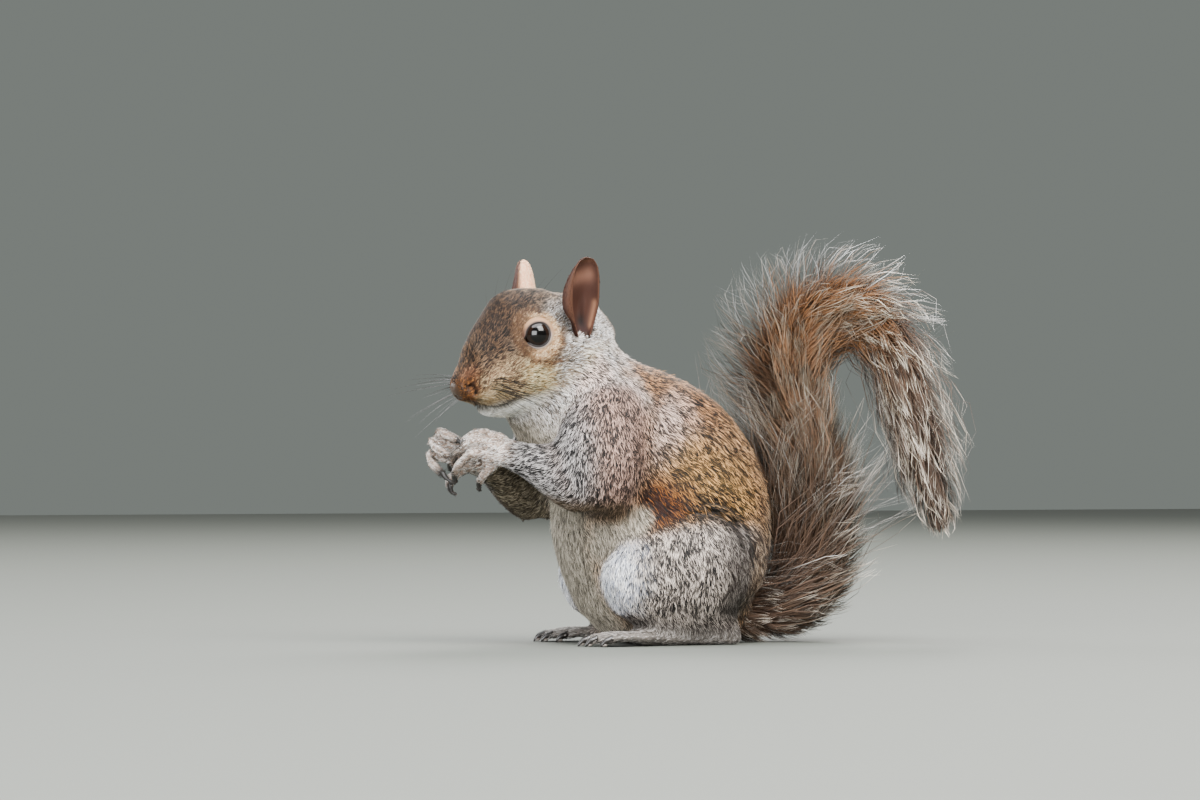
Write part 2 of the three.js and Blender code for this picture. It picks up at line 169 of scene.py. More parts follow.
def add_tube(bm, rings):
    """Adds a closed tube through rings of points."""
    rings = [[bm.verts.new(place) for place in ring] for ring in rings]
    for low, high in zip(rings, rings[1:]):
        for k in range(len(low)):
            bm.faces.new((low[k], low[k - 1], high[k - 1], high[k]))
    bm.faces.new(rings[0])
    bm.faces.new(rings[-1][::-1])


def as_mesh(bm, name):
    """The finished mesh of a bmesh, which is then freed."""
    mesh = bpy.data.meshes.new(name)
    bm.to_mesh(mesh)
    bm.free()
    return mesh


def in_scene(name, data):
    """A new object in the scene, at the origin."""
    obj = bpy.data.objects.new(name, data)
    bpy.context.scene.collection.objects.link(obj)
    return obj


def tail_core():
    """The tail's flesh as a closed tapering tube."""
    count = 70
    shares = np.linspace(0, 1, count)
    middle, tangents = tail_at(shares)
    across, inward = around(tangents)
    radius = np.interp(shares, (0, 1), TAIL_CORE) * MM
    turns = np.linspace(0, 2 * np.pi, 16, endpoint=False)[:, None]
    spokes = [np.cos(turns) * across[k] + np.sin(turns) * inward[k] for k in range(count)]
    bm = bmesh.new()
    add_tube(bm, [middle[k] + radius[k] * spokes[k] for k in range(count)])
    bmesh.ops.recalc_face_normals(bm, faces=bm.faces)
    return as_mesh(bm, "tail core")


def solids(nodes, gap):
    """Several solids together, each grown a little across the gap to its neighbours."""
    bm = bmesh.new()
    for node in nodes:
        part = bmesh.new()
        part.from_mesh(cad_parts[node].data)
        bmesh.ops.remove_doubles(part, verts=part.verts, dist=1e-6)
        part.normal_update()
        for v in part.verts:
            v.co += v.normal * gap * min(v.calc_shell_factor(), 1.6)
        bm.from_mesh(as_mesh(part, "part"))
    return bm


def one_surface(bm, grain):
    """One closed surface round everything in a mesh, with faces about `grain` across."""
    obj = in_scene("grown", as_mesh(bm, "grown"))
    remesh = obj.modifiers.new("one surface", "REMESH")
    remesh.mode = "VOXEL"
    remesh.voxel_size = grain
    whole = bmesh.new()
    whole.from_mesh(obj.evaluated_get(bpy.context.evaluated_depsgraph_get()).to_mesh())
    bpy.data.objects.remove(obj)
    return whole


def arrays(bm):
    """The places and the triangles of a mesh, which is then freed."""
    bmesh.ops.triangulate(bm, faces=bm.faces)
    bm.verts.index_update()
    points = np.array([v.co for v in bm.verts])
    triangles = np.array([[v.index for v in f.verts] for f in bm.faces])
    bm.free()
    return points, triangles


def sew_on_hand(body, side):
    """Cuts the arm across just above the wrist, and sews on the hand with its fingers in finer faces."""
    up_the_arm = unit(np.array(ELBOWS[side], float) - WRISTS[side])
    place = (np.array(WRISTS[side]) + 3.5 * up_the_arm) * MM
    fine = one_surface(solids([f"forearm_{side}", f"hand_{side}"], 0.3 * MM), HAND_GRAIN)
    for bm, away in ((body, -up_the_arm), (fine, up_the_arm)):
        near = {v for v in bm.verts if bm is fine or (v.co - Vector(place)).length < 10 * MM}
        faces = [f for f in bm.faces if any(v in near for v in f.verts)]
        edges = {e for f in faces for e in f.edges}
        verts = {v for f in faces for v in f.verts}
        whole = [*verts, *edges, *faces]
        bmesh.ops.bisect_plane(bm, geom=whole, plane_co=place, plane_no=away, clear_outer=True)
    body.from_mesh(as_mesh(fine, "hand"))
    is_near = lambda edge: (edge.verts[0].co - Vector(place)).length < 12 * MM
    rims = [edge for edge in body.edges if len(edge.link_faces) == 1 and is_near(edge)]
    bmesh.ops.bridge_loops(body, edges=rims)


def ear_shell(side, s):
    """One ear: a thin cupped leaf, almost a tube at its root and nearly flat at its rounded tip. Gives its
    places, triangles, share up the ear, share across it and whether each place is on the hollow side."""
    rows, columns = 46, 33
    up, over = np.linspace(0, 1, rows), np.linspace(-1, 1, columns)
    u, v = (grid.ravel() for grid in np.meshgrid(up, over, indexing="ij"))
    tip = np.sqrt(np.maximum(0, 1 - np.maximum(0, (u - 0.6) / 0.4) ** 2.6))
    half = EAR_HALF_WIDTH * (0.34 + 0.66 * np.sin(np.minimum(u / 0.52, 1) * np.pi / 2)) * tip
    # the furred front edge is turned outwards
    strip = 3.7 * ease(1, 0.5, u) * ease(0.1, 0.4, u) * ease(0.55, 1, -s * v)
    curl = np.radians(112 - 66 * u)
    radius = (half + 0.5) / np.sin(curl)
    shells = []
    for out in (0, 1):
        skin = radius + out * (0.9 - 0.45 * v**4 + strip)
        fold = (1 - out) * np.exp(-(((u - 0.32) / 0.16) ** 2))  # the ridge and the notch low in the hollow
        fold = fold * (0.9 * np.exp(-(((v - 0.3) / 0.14) ** 2)) - 0.5 * np.exp(-(((v + 0.02) / 0.12) ** 2)))
        depth = (skin - fold) * np.cos(v * curl) - radius * np.cos(curl)
        shells.append(np.stack([(skin - fold) * np.sin(v * curl), depth, EAR_HEIGHT * u], axis=1))
    turned = Matrix.Identity(3)
    for axis, degrees in (("X", EAR_PRICK[side] - 30), ("Y", s * EAR_SPLAY[side]), ("Z", s * EAR_TURN[side])):
        turned = turned @ Matrix.Rotation(math.radians(degrees), 3, axis)
    local = np.concatenate(shells) @ np.array(turned).T * (1, -1, 1) + EAR_ROOT[side] * np.array([s, 1, 1])
    places = BROW + (local * MM) @ HEAD_AXES
    sheet = rows * columns
    cell = (np.arange(rows - 1)[:, None] * columns + np.arange(columns - 1)).ravel()
    quads = [np.stack([cell, cell + 1, cell + columns + 1, cell + columns], axis=1)]
    quads.append(quads[0][:, ::-1] + sheet)
    for edge, flip in ((0, 1), (columns - 1, -1)):
        a = np.arange(rows - 1) * columns + edge
        quads.append(np.stack([a, a + columns, a + columns + sheet, a + sheet], axis=1)[:, ::flip])
    for edge, flip in ((0, -1), ((rows - 1) * columns, 1)):
        a = np.arange(columns - 1) + edge
        quads.append(np.stack([a, a + 1, a + 1 + sheet, a + sheet], axis=1)[:, ::flip])
    quads = np.concatenate(quads)
    triangles = np.concatenate([quads[:, [0, 1, 2]], quads[:, [0, 2, 3]]])
    return places, triangles, np.tile(u, 2), np.tile(v, 2), np.repeat([1.0, 0.0], sheet)


class Surface:
    """A mesh held as arrays, with what is read from it: normals, neighbours and areas."""

    def __init__(self, points, triangles):
        self.points = points
        self.triangles = triangles
        sides = np.sort(np.concatenate([triangles[:, [k, (k + 1) % 3]] for k in range(3)]), axis=1)
        self.edges = np.unique(sides, axis=0)
        self.degree = np.bincount(self.edges.ravel(), minlength=len(points))[:, None]

    def summed(self, corners, values):
        """Adds a value given at each corner of each face to the corner's vertex."""
        flat = values.reshape(-1, values.shape[-1])
        total = [np.bincount(corners.ravel(), column, len(self.points)) for column in flat.T]
        return np.stack(total, axis=1)

    def normals(self):
        a, b, c = (self.points[self.triangles[:, k]] for k in range(3))
        facing = np.cross(b - a, c - a)
        return unit(self.summed(self.triangles, np.repeat(facing[:, None], 3, axis=1)))

    def smoothed(self, values, rounds, pull=0.6):
        """Values at the vertices, each drawn to the mean of its neighbours. pull may differ by vertex."""
        for _ in range(rounds):
            total = self.summed(self.edges, values[self.edges[:, ::-1]])
            values = values + pull * (total / self.degree - values)
        return values

    def tree(self):
        return BVHTree.FromPolygons(self.points.tolist(), self.triangles.tolist())


def nearest_part(points):
    """The number, in PARTS, of the solid that lies nearest to each point."""
    dice = np.random.default_rng(11)
    marks = []
    numbers = []
    for number, node in enumerate(FLESH):
        if node.startswith("ear"):
            continue
        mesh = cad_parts[node].data
        co = np.empty(len(mesh.vertices) * 3)
        mesh.vertices.foreach_get("co", co)
        co = co.reshape(-1, 3, 3)
        area = np.linalg.norm(np.cross(co[:, 1] - co[:, 0], co[:, 2] - co[:, 0]), axis=1) / 2
        count = int(area.sum() / (1.6 * MM) ** 2) + 20
        face = np.searchsorted(np.cumsum(area) / area.sum(), (np.arange(count) + 0.5) / count)
        share = dice.dirichlet((1, 1, 1), count)
        marks += list((co[face] * share[..., None]).sum(1))
        numbers += [number] * count
    shares = np.repeat(np.linspace(0.12, 1, 200), 8)
    middle, tangents = tail_at(shares)
    across, inward = around(tangents)
    turns = np.tile(np.arange(8) * np.pi / 4, 200)[:, None]
    ring = middle + 4 * MM * (np.cos(turns) * across + np.sin(turns) * inward)
    return nearest(points, [*marks, *ring], numbers + [len(FLESH)] * len(ring))


def by_part(values):
    """A number for each vertex of the body, from a value for each part."""
    return np.array([values[part] for part in PARTS])[part_of]


def is_part(*names):
    """Whether each vertex of the body lies on one of the named parts."""
    return by_part({part: part.startswith(names) for part in PARTS})


body_mesh = solids([node for node in FLESH if not node.startswith(("ear", "hand"))], JOIN_GAP)
body_mesh.from_mesh(tail_core())
body_mesh = one_surface(body_mesh, SKIN_GRAIN)
sew_on_hand(body_mesh, "left")
sew_on_hand(body_mesh, "right")
points, triangles = arrays(body_mesh)
part_of = nearest_part(points)
ear_up = np.zeros(len(points))
ear_across = np.zeros(len(points))
ear_hollow = np.zeros(len(points))
for side, s in (("left", 1), ("right", -1)):
    shell, faces, up, across, hollow = ear_shell(side, s)
    triangles = np.concatenate([triangles, faces + len(points)])
    points = np.concatenate([points, shell])
    part_of = np.concatenate([part_of, np.full(len(shell), PARTS.index(f"ear_{side}"))])
    ear_up = np.concatenate([ear_up, up])
    ear_across = np.concatenate([ear_across, across])
    ear_hollow = np.concatenate([ear_hollow, hollow])
coat = Surface(points, triangles)
on_ear = is_part("ear")
coarse = ~is_part("ear", "hand", "hind", "head")
softness = coat.smoothed(coarse.astype(float)[:, None], 10) * ~on_ear[:, None]
coat.points = coat.smoothed(coat.points, 4, 0.5 * ~on_ear[:, None])
coat.points = coat.smoothed(coat.points, 36, 0.6 * softness)
coat.points[:, 2] = np.maximum(coat.points[:, 2], 0.2 * MM)

# the lip pads swell out over the mouth, the chin is set back under it, and the head is hollow at the ears
on_head = is_part("head")
half_face = halved(in_head(coat.points))
jaw = half_face[:, 2] + 0.32 * (30 - half_face[:, 1])
swell = 1.1 * ease(-15.5, -18.5, jaw) * ease(14, 26, half_face[:, 1])
for height, centre, reach in (
    (0.9, (7.5, 29, -10), (5, 7, 4.6)),  # the lip pad
    (-2.9, (0, 35, -14.2), (7.5, 6.5, 4.6)),  # under the nose
    (-1.5, (8.6, 34, -5), (2.8, 5, 5.5)),  # beside the nose
    (-2.4, (20.5, -12.5, 0), (6, 7, 11)),  # round the ear's root
):
    swell += height * np.exp(-(off_centre(half_face, centre, reach) ** 4))
cup = np.exp(-(off_centre(half_face, (19.5, -15.8, -2), (5.5, 3.6, 6.5)) ** 4))
nape = np.exp(-(off_centre(half_face, (11, -30, -10), (9, 7, 8)) ** 4))
swell = swell * on_head - 3.2 * cup * ~on_ear - 2.4 * nape
coat.points += coat.normals() * (swell * MM)[:, None]

# two creases curve down where the loose skin of the flank folds behind the thigh; FOLDED also lays painted
# shade in them
FOLDS = (
    (
        (34, -6, 57.5), (33.5, -0.5, 57), (32, 5.3, 55.5), (32, 10.7, 51.8),
        (33, 14, 47), (34, 15, 41), (36, 15.5, 33),
    ),
    ((35, -13, 53.3), (35, -8, 53.8), (35, -3, 53.4), (34.5, 2.4, 51.6), (34.5, 7.3, 48.5), (36, 9.5, 43)),
)
FOLDED = np.zeros(len(coat.points))
coat_tree = coat.tree()
for fold in FOLDS:
    for s in (1, -1):
        places = [np.array([s * x, y, z]) * MM for x, y, z in fold]
        line = [np.array(coat_tree.find_nearest(Vector(place))[0]) / MM for place in places]
        FOLDED = np.maximum(FOLDED, near_line(coat.points / MM, line, 1.15))
coat.points -= coat.normals() * (1.5 * MM * FOLDED)[:, None]
coat_out = coat.normals()
coat_tree = coat.tree()
face_at = in_head(coat.points)

# --------------------------------------------------------------------------------------------------
# Claws: hooked horn on every digit, near black. Each grows from the end bone of a finger or toe, sheathed
# in skin. The hands hold theirs as if round a nut, and the feet rest theirs on the floor.

CLAW_LENGTH = 5.6 * MM
FINGER_ENDS = {
    "left": ((8, -95.4, 81.5), (3.5, -100.4, 72.5), (4.5, -98.9, 68), (7.5, -89.4, 65)),
    "right": ((-2.5, -95.4, 81), (-2, -98.9, 74.5), (-3, -101.4, 67.5), (-6, -97.9, 63)),
}  # millimetres, the tips of the fingers
FINGER_HEADINGS = {
    "left": ((-3, -3.5, -2.5), (-4.5, -1, -4), (-4.5, -0.5, -3.5), (-2.5, -1, -2.5)),
    "right": ((4.5, 4, -2.5), (5, 4.5, -3.5), (4.5, 3, -4), (3, -1, -2.5)),
}
FOOT_BALL = -30.7  # the row of toe roots along Y, and the middle of the foot along X, in millimetres
FOOT_MIDDLE = 29


def claws_of(s):
    """The root, heading and hook of each claw on one side of the body."""
    side = "left" if s > 0 else "right"
    found = []
    for end, heading in zip(FINGER_ENDS[side], FINGER_HEADINGS[side]):
        heading = unit(unit(np.array(heading, float)) + (0, 0, -0.4))
        found.append((np.array(end) * MM, heading, unit(np.array([-s * 0.5, 0.8, 0.1]))))
    for k in range(-2, 3):
        reach = 21.4 - 1.6 * k * k
        end = np.array([s * (FOOT_MIDDLE + 4.6 * k), FOOT_BALL - reach, 2.6]) * MM
        heading = unit(np.array([s * 0.02 * k, -0.98, -0.58]))
        found.append((end, heading, unit(np.array([0, 0.2, -1.0]))))
    return found


CLAWS = claws_of(1) + claws_of(-1)

# --------------------------------------------------------------------------------------------------
# Lie of the coat: which way the hair runs, how deep it is and how long, at every place on the body.
# It runs back from the nose over the head, down the neck, back and flanks, and towards the tips of the limbs.

NOSE_TIP = np.array([0, 40.5, -4])  # in the head's frame, as all places on the face are
HEAD_HAIR_FROM = np.array([0, 46, -10])
RUNS = {
    "trunk": (0, 0.62, -0.78), "neck": (0, 0.66, -0.75), "upper_arm": (0, -0.05, -1),
    "forearm": (-0.25, -0.85, -0.25), "hand": (-0.1, -0.95, -0.1), "thigh": (0, 0.08, -1),
    "lower_leg": (0, 0.75, -0.5), "hind_foot": (0, -1, 0), "ear": (0, 0.1, 1), "tail": (0, 0, 1),
    "head": (0, 0, 0),
}
HAIR_LENGTH = {
    "trunk": 5.8, "neck": 4.4, "upper_arm": 4.3, "forearm": 3.4, "hand": 1.7, "thigh": 5.2,
    "lower_leg": 3.8, "hind_foot": 2.0, "ear": 1.3, "tail": 7.0, "head": 2.6,
}  # millimetres
HAIR_WIDTH = {
    "trunk": 0.46, "neck": 0.46, "upper_arm": 0.44, "forearm": 0.38, "hand": 0.24, "thigh": 0.42,
    "lower_leg": 0.36, "hind_foot": 0.28, "ear": 0.18, "tail": 0.4, "head": 0.23,
}  # millimetres: a lock of a few hairs
LOCKS = {
    "trunk": 2.2, "neck": 4.0, "upper_arm": 3.8, "forearm": 4.3, "hand": 5.2, "thigh": 3.3,
    "lower_leg": 3.3, "hind_foot": 2.8, "ear": 6.0, "tail": 1.1, "head": 6.0,
}  # to the square millimetre


def either_side(values):
    """A table by part, given once for the left and the right."""
    return {part: values[part.replace("_left", "").replace("_right", "")] for part in PARTS}


def settled(values, rounds=40):
    """A value for each part, given to its vertices and blended over the joins."""
    return coat.smoothed(by_part(values)[:, None], rounds)[:, 0]


eye_gap = np.min([np.linalg.norm(coat.points - at, axis=1) for at in EYES.values()], axis=0) / MM
nose_gap = np.linalg.norm(face_at - NOSE_TIP, axis=1)
claw_gap = np.full(len(coat.points), 99.0)
for root, heading, hook in CLAWS:
    along = (coat.points - root) @ heading
    beside = np.linalg.norm(coat.points - root - np.clip(along, 0, CLAW_LENGTH)[:, None] * heading, axis=1)
    claw_gap = np.minimum(claw_gap, np.where(along > 0.3 * MM, beside, 99))

deep = settled(COAT_DEPTH, 12)
deep += 0.9 * ease(16, 6, off_centre(np.abs(face_at), (15, -14, -14), (1, 1.3, 1.2))) * on_head
deep *= np.where(on_head, ease(7, 14, eye_gap) * 0.8 + 0.2, 1)
deep *= np.where(on_head, ease(2, 14, nose_gap) * 0.85 + 0.15, 1)
deep = np.where(claw_gap < 2.4 * MM, 1.3, deep)
deep = np.where(on_ear, 0.1 * (1 - ear_hollow), deep) * MM

runs = np.array([either_side(RUNS)[part] for part in PARTS], float)[part_of]
runs[:, 0] *= np.sign(coat.points[:, 0])
middle, tangents = tail_at(np.linspace(0, 1, 200))
on_tail = part_of == len(FLESH)
runs[on_tail] = tangents[nearest(coat.points[on_tail], middle, range(200))]
from_nose = unit(face_at - HEAD_HAIR_FROM) + (0, 0, -0.1)
runs = np.where(on_head[:, None], from_nose @ HEAD_AXES, runs)
for _ in range(3):
    runs = coat.smoothed(runs, 12)
    runs = unit(runs - coat_out * (runs * coat_out).sum(1)[:, None])
lengths = settled(either_side(HAIR_LENGTH), 30) * MM
lengths *= 1 + 0.8 * ease(24, 34, coat.points[:, 1] / MM) * ease(62, 46, coat.points[:, 2] / MM) * ~on_tail
side_at = halved(face_at)
by_ear = ~on_ear * ease(1.25, 0.85, off_centre(side_at, (20, -17.3, -3), (8.5, 4.6, 9)))
lengths *= 1 - 0.6 * by_ear
lengths *= np.where(on_head, 0.45 + 0.55 * ease(8, 16, eye_gap), 1)
lengths *= np.where(on_head, 0.5 + 0.5 * ease(3, 18, nose_gap), 1)
widths = settled(either_side(HAIR_WIDTH), 30) * MM
locks = settled(either_side(LOCKS), 20)

# --------------------------------------------------------------------------------------------------
# Markings: one set of colours for the hide and the coat. Each lock is pale, dark or in between, as agouti
# hairs are banded. Grey neck and thighs, brown-buff back, a rufous flank, white throat and belly, a cream
# ring round the eye. Painted shade goes in with them: in the creases behind the thighs, under the arms, on
# the belly, at the fingertips, round the ears' roots and along the mouth; and painted light on the far ear.


def linear(code):
    """An sRGB hex colour as linear light."""
    value = np.array([int(code[k : k + 2], 16) for k in (1, 3, 5)]) / 255
    return np.where(value <= 0.04045, value / 12.92, ((value + 0.055) / 1.055) ** 2.4)


PELTS = {
    "back": ("#241509", "#040402", "#b88f65", 0.34, 0.26),
    "flank": ("#3b2d14", "#070401", "#c69659", 0.30, 0.24),
    "rufous": ("#260c01", "#010000", "#76430f", 0.30, 0.20),
    "rump": ("#332419", "#181310", "#958370", 0.34, 0.24),
    "nape": ("#201005", "#030302", "#ad7e53", 0.34, 0.26),
    "neck": ("#b0a297", "#080605", "#f1f1f1", 0.34, 0.4),
    "shoulder": ("#463b35", "#090706", "#edcdbd", 0.38, 0.3),
    "arm": ("#281e19", "#050404", "#b08f80", 0.38, 0.3),
    # painted shade: browner, darker fur for the underside of the arm
    "arm underside shade": ("#50402d", "#2a2016", "#746049", 0.34, 0.26),
    "thigh": ("#302b29", "#090907", "#cfc1b5", 0.34, 0.32),
    "haunch": ("#2e2924", "#1c1310", "#69635e", 0.34, 0.32),
    "knee": ("#b8bdcb", "#37373d", "#f1f1f1", 0.30, 0.40),
    # painted shade: the belly's white fur is laid in greyed, for the shade under the arms
    "belly": ("#756e61", "#47423a", "#aca393", 0.2, 0.4),
    "forearm": ("#0a090a", "#010000", "#b5b0ae", 0.4, 0.34),
    "hand": ("#c5aa97", "#211f1b", "#efebe6", 0.22, 0.42),
    # painted shade at the ends of the fingers
    "fingertip shade": ("#46403b", "#120e0c", "#89827c", 0.5, 0.15),
    "foot": ("#878079", "#3e3833", "#b8b3ae", 0.25, 0.3),
    "crown": ("#140d06", "#010100", "#907963", 0.38, 0.34),
    "brow": ("#0b0502", "#010100", "#59412d", 0.40, 0.30),
    "bridge": ("#1a0f04", "#010000", "#735336", 0.34, 0.26),
    "nose": ("#623a16", "#27170c", "#965f2c", 0.36, 0.2),
    "cinnamon": ("#613d26", "#2d190c", "#946a4a", 0.28, 0.24),
    "muzzle": ("#60412e", "#171009", "#bfa680", 0.26, 0.34),
    "lip": ("#a3865c", "#716147", "#beaa89", 0.16, 0.40),
    "cheek": ("#a07f53", "#2f281b", "#d6cba1", 0.26, 0.38),
    "temple": ("#756658", "#15110b", "#e1dfdd", 0.28, 0.32),
    "eye ring": ("#b58a60", "#5e3c20", "#dcc29c", 0.24, 0.42),
    "eye shade": ("#4e351e", "#2d1605", "#745c45", 0.24, 0.26),
    "under eye": ("#62422b", "#342012", "#866547", 0.34, 0.16),
    "throat": ("#f0ecdf", "#9e9886", "#f1f1ee", 0.14, 0.42),
    "ear": ("#381a0f", "#1c0804", "#593623", 0.32, 0.22),
    # the back of the far ear: pale fur, made paler still with painted light; the near ear has none
    "sunlit far ear": ("#f1bb94", "#d18d6c", "#f1dbb8", 0.15, 0.4),
    "inner arm": ("#564d3e", "#1d1a13", "#8a806c", 0.3, 0.25),
    # fold: painted shade, for the creases behind the thighs and the line of the mouth
    "fold": ("#1f160e", "#0d0805", "#3c2c1e", 0.5, 0.08),
    "brush": ("#4b3827", "#19110a", "#79644d", 0.42, 0.14),
}  # the colour of most locks, of the dark ones and of the pale ones, and the shares of those two
PELT_OF = {
    "trunk": "back", "neck": "neck", "head": "crown", "ear": "ear", "upper_arm": "arm", "forearm": "forearm",
    "hand": "hand", "thigh": "thigh", "lower_leg": "haunch", "hind_foot": "foot", "tail": "brush",
}
pelt_names = list(PELTS)
pelt_rows = np.array([np.concatenate([*map(linear, row[:3]), row[3:]]) for row in PELTS.values()])


def ripple(points, size, seed=0):
    """A slow random swell from -1 to 1 over a surface, one swell in about twice `size` millimetres."""
    dice = np.random.default_rng(seed)
    total = 0
    for _ in range(6):
        way = unit(dice.normal(size=3)) * dice.uniform(0.7, 1.5) / (size * MM)
        total = total + np.sin(points @ way * np.pi + dice.uniform(0, 6.3))
    return np.clip(total / 3, -1, 1)


def blot(places, centre, reach, soft=0.45):
    """How far a soft oval blot covers each place: 1 inside it, 0 outside."""
    gap = off_centre(places, centre, reach)
    return ease(1 + soft, 1 - soft, gap + 0.14 * ripple(coat.points, 5, 7))


def paint(pelt, cover):
    """Lays one pelt over the others where cover is 1."""
    shares[:] *= 1 - cover[:, None]
    shares[:, pelt_names.index(pelt)] += cover


def within(*names):
    """1 on the named parts and 0 elsewhere, with soft edges."""
    return settled({part: float(part.startswith(names)) for part in PARTS}, 8)


body_at = halved(coat.points / MM)
pelt_of_part = either_side(PELT_OF)
first = by_part({part: pelt_names.index(pelt_of_part[part]) for part in PARTS})
shares = coat.smoothed(np.eye(len(pelt_names))[first], 36)
torso = within("trunk")
paint("nape", within("trunk", "neck") * blot(body_at, (10, -14, 100), (28, 25, 21)))
paint("shoulder", within("neck", "trunk") * blot(body_at, (22, -47, 103), (12, 8, 14)) * 0.8)
for pelt, centre, reach, soft in (
    ("shoulder", (26, -31, 92), (26, 20, 22), 0.45),
    ("flank", (34, -6, 62), (24, 22, 22), 0.45),
    ("rufous", (33, -24, 57), (16, 13, 12), 0.6),
    ("rump", (20, 36, 26), (40, 16, 34), 0.45),
):
    paint(pelt, torso * blot(body_at, centre, reach, soft))
front = ease(0.25, 0.7, -coat_out[:, 1]) * ease(26, 14, body_at[:, 0]) * ease(-15, -35, body_at[:, 1])
paint("belly", within("trunk", "neck") * np.maximum(front, blot(body_at, (26, -42, 45), (16, 12, 12))))
paint("belly", torso * blot(body_at, (31, -33.5, 52), (8, 6, 6.5), 0.3))
inner_arm = ease(0.1, 0.6, -coat_out[:, 0] * np.sign(coat.points[:, 0]))
shade_under_arm = ease(64, 54, body_at[:, 2]) * ease(0.0, -0.7, coat_out[:, 2])
paint("forearm", within("upper_arm") * ease(-45, -60, body_at[:, 1]))
# painted shade on the underside of the arm, where it faces down
paint("arm underside shade", within("upper_arm", "forearm") * shade_under_arm * 0.8)
paint("inner arm", within("upper_arm", "forearm") * inner_arm)
for side in ("left", "right"):
    past_wrist = np.linalg.norm(coat.points / MM - WRISTS[side], axis=1)
    paint("hand", within("forearm") * ease(9, 4, past_wrist))
# painted shade: the coat round the ear's root takes the ear's dark brown
paint("ear", by_ear)
# painted light on the far ear's pale back
paint("sunlit far ear", within("ear_right") * ease(0.85, 0.6, ear_across))
paint("knee", within("thigh") * blot(body_at, (30, -42, 30), (14, 11, 18), 0.6))
paint("haunch", within("thigh") * ease(-6, 8, body_at[:, 1]))
paint("rump", within("thigh") * ease(12, 17, body_at[:, 1]))
# painted shade in the creases behind the thighs
paint("fold", within("trunk", "thigh") * FOLDED * 0.8)
# painted shade on the fingers' ends, next to the claws
paint("fingertip shade", ease(7, 3, claw_gap / MM) * within("hand"))

face = coat.smoothed(on_head.astype(float)[:, None], 6)[:, 0]
for pelt, centre, reach, soft, cover in (
    ("cheek", (18, -4, -15), (14, 22, 13), 0.45, 1),
    ("temple", (18, -11, -5), (9, 13, 14), 0.45, 1),
    ("neck", (20, -26, -8), (13, 12, 16), 0.45, 1),
    ("temple", (18, -2, -20), (8, 9, 8), 0.45, 0.9),
    ("cheek", (13, 17, -14), (10, 12, 9), 0.45, 1),
    ("muzzle", (10, 22, -9), (8, 18, 9), 0.45, 1),
    ("cheek", (16, 11, -13), (5, 6, 6), 0.45, 1),
    ("brow", (6, 10, 12), (14, 19, 12), 0.45, 1),
    ("bridge", (0, 30, 2), (7, 13, 8), 0.45, 1),
    ("bridge", (9, 24, 1.5), (7, 9, 5), 0.45, 0.55),
    ("cinnamon", (5.5, 32.5, -1), (5, 4, 3), 0.45, 1),
    ("nose", (4, 36, -6.2), (7.4, 4.6, 5.4), 0.25, 1),
    ("lip", (9, 29, -12.5), (6, 8, 4), 0.45, 1),
):
    paint(pelt, face * blot(side_at, centre, reach, soft) * cover)
# back along the side of the jaw from under the nose
MOUTH = [
    (0, 32.5, -14.2), (3.6, 31.3, -15.2), (5.8, 30.2, -16.3), (7.1, 28.2, -17.4), (8.5, 25.2, -18),
    (9.9, 21.6, -18.2),
]
on_mouth = face * near_line(side_at, laid_on(coat_tree, MOUTH), 1.5)
lengths *= 1 - 0.5 * on_mouth
paint("throat", face * ease(-15, -19, face_at[:, 2] + 0.3 * (26 - face_at[:, 1])) * ease(2.5, 6, nose_gap))
eye_at = np.array([12.9, 1.0, 0])
gaze = unit(np.array(GAZE))
off_eye = side_at - eye_at - ((side_at - eye_at) @ gaze)[:, None] * gaze
eye_ring = np.linalg.norm(off_eye, axis=1) + 0.5 * ripple(coat.points, 3, 5)
beside_eye = face * ease(4, 7, side_at[:, 0])
downward = unit(off_eye) @ unit(np.array([0.2, 0.42, -0.9]))
ahead = unit(off_eye) @ unit(np.array([-0.2, 0.88, 0.42]))
below = np.maximum(downward, 0)
paint("eye shade", beside_eye * ease(13.2, 10, eye_ring) * ease(-0.5, 0.3, np.maximum(ahead, downward)))
paint("eye ring", beside_eye * ease(9.3 + 1.8 * below, 8.1 + 1.5 * below, eye_ring) * ease(0.6, 0.1, ahead))
UNDER_EYE = [(15.9, 11.0, -7.4), (17.5, 6.2, -11.4), (18.8, 0.7, -12.7)]
paint("under eye", beside_eye * near_line(side_at, UNDER_EYE, 0.9))
# painted shade along the line of the mouth
paint("fold", on_mouth)
markings = shares @ pelt_rows
markings[:, :9] *= 1 + 0.12 * ripple(coat.points, 9, 3)[:, None]

# --------------------------------------------------------------------------------------------------
# Skin: one unbroken hide, drawn in from the tips of the coat by the coat's depth, so no join shows anywhere.
# It has a bare nose pad with comma nostrils, the split lip and the line of the mouth, and the eyelids.


def add(tree, kind, links=None, **settings):
    """Adds a node with its settings, and links its inputs from other nodes' outputs."""
    node = tree.nodes.new(kind)
    for name, value in settings.items():
        if hasattr(node, name):
            setattr(node, name, value)
        else:
            node.inputs[name.replace("_", " ")].default_value = value
    for name, source in (links or {}).items():
        tree.links.new(source, node.inputs[name])
    return node


def new_material(name, **settings):
    """A material with a Principled shader, and the settings that are the same all over it."""
    material = bpy.data.materials.new(name)
    material.use_nodes = True
    shader = material.node_tree.nodes["Principled BSDF"]
    for setting, value in settings.items():
        shader.inputs[setting.replace("_", " ")].default_value = value
    return material, material.node_tree, shader


def new_piece(name, mesh, material):
    """A mesh as a piece of the animal, fixed to its one body."""
    mesh.materials.append(material)
    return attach(in_scene(name, mesh), "root")


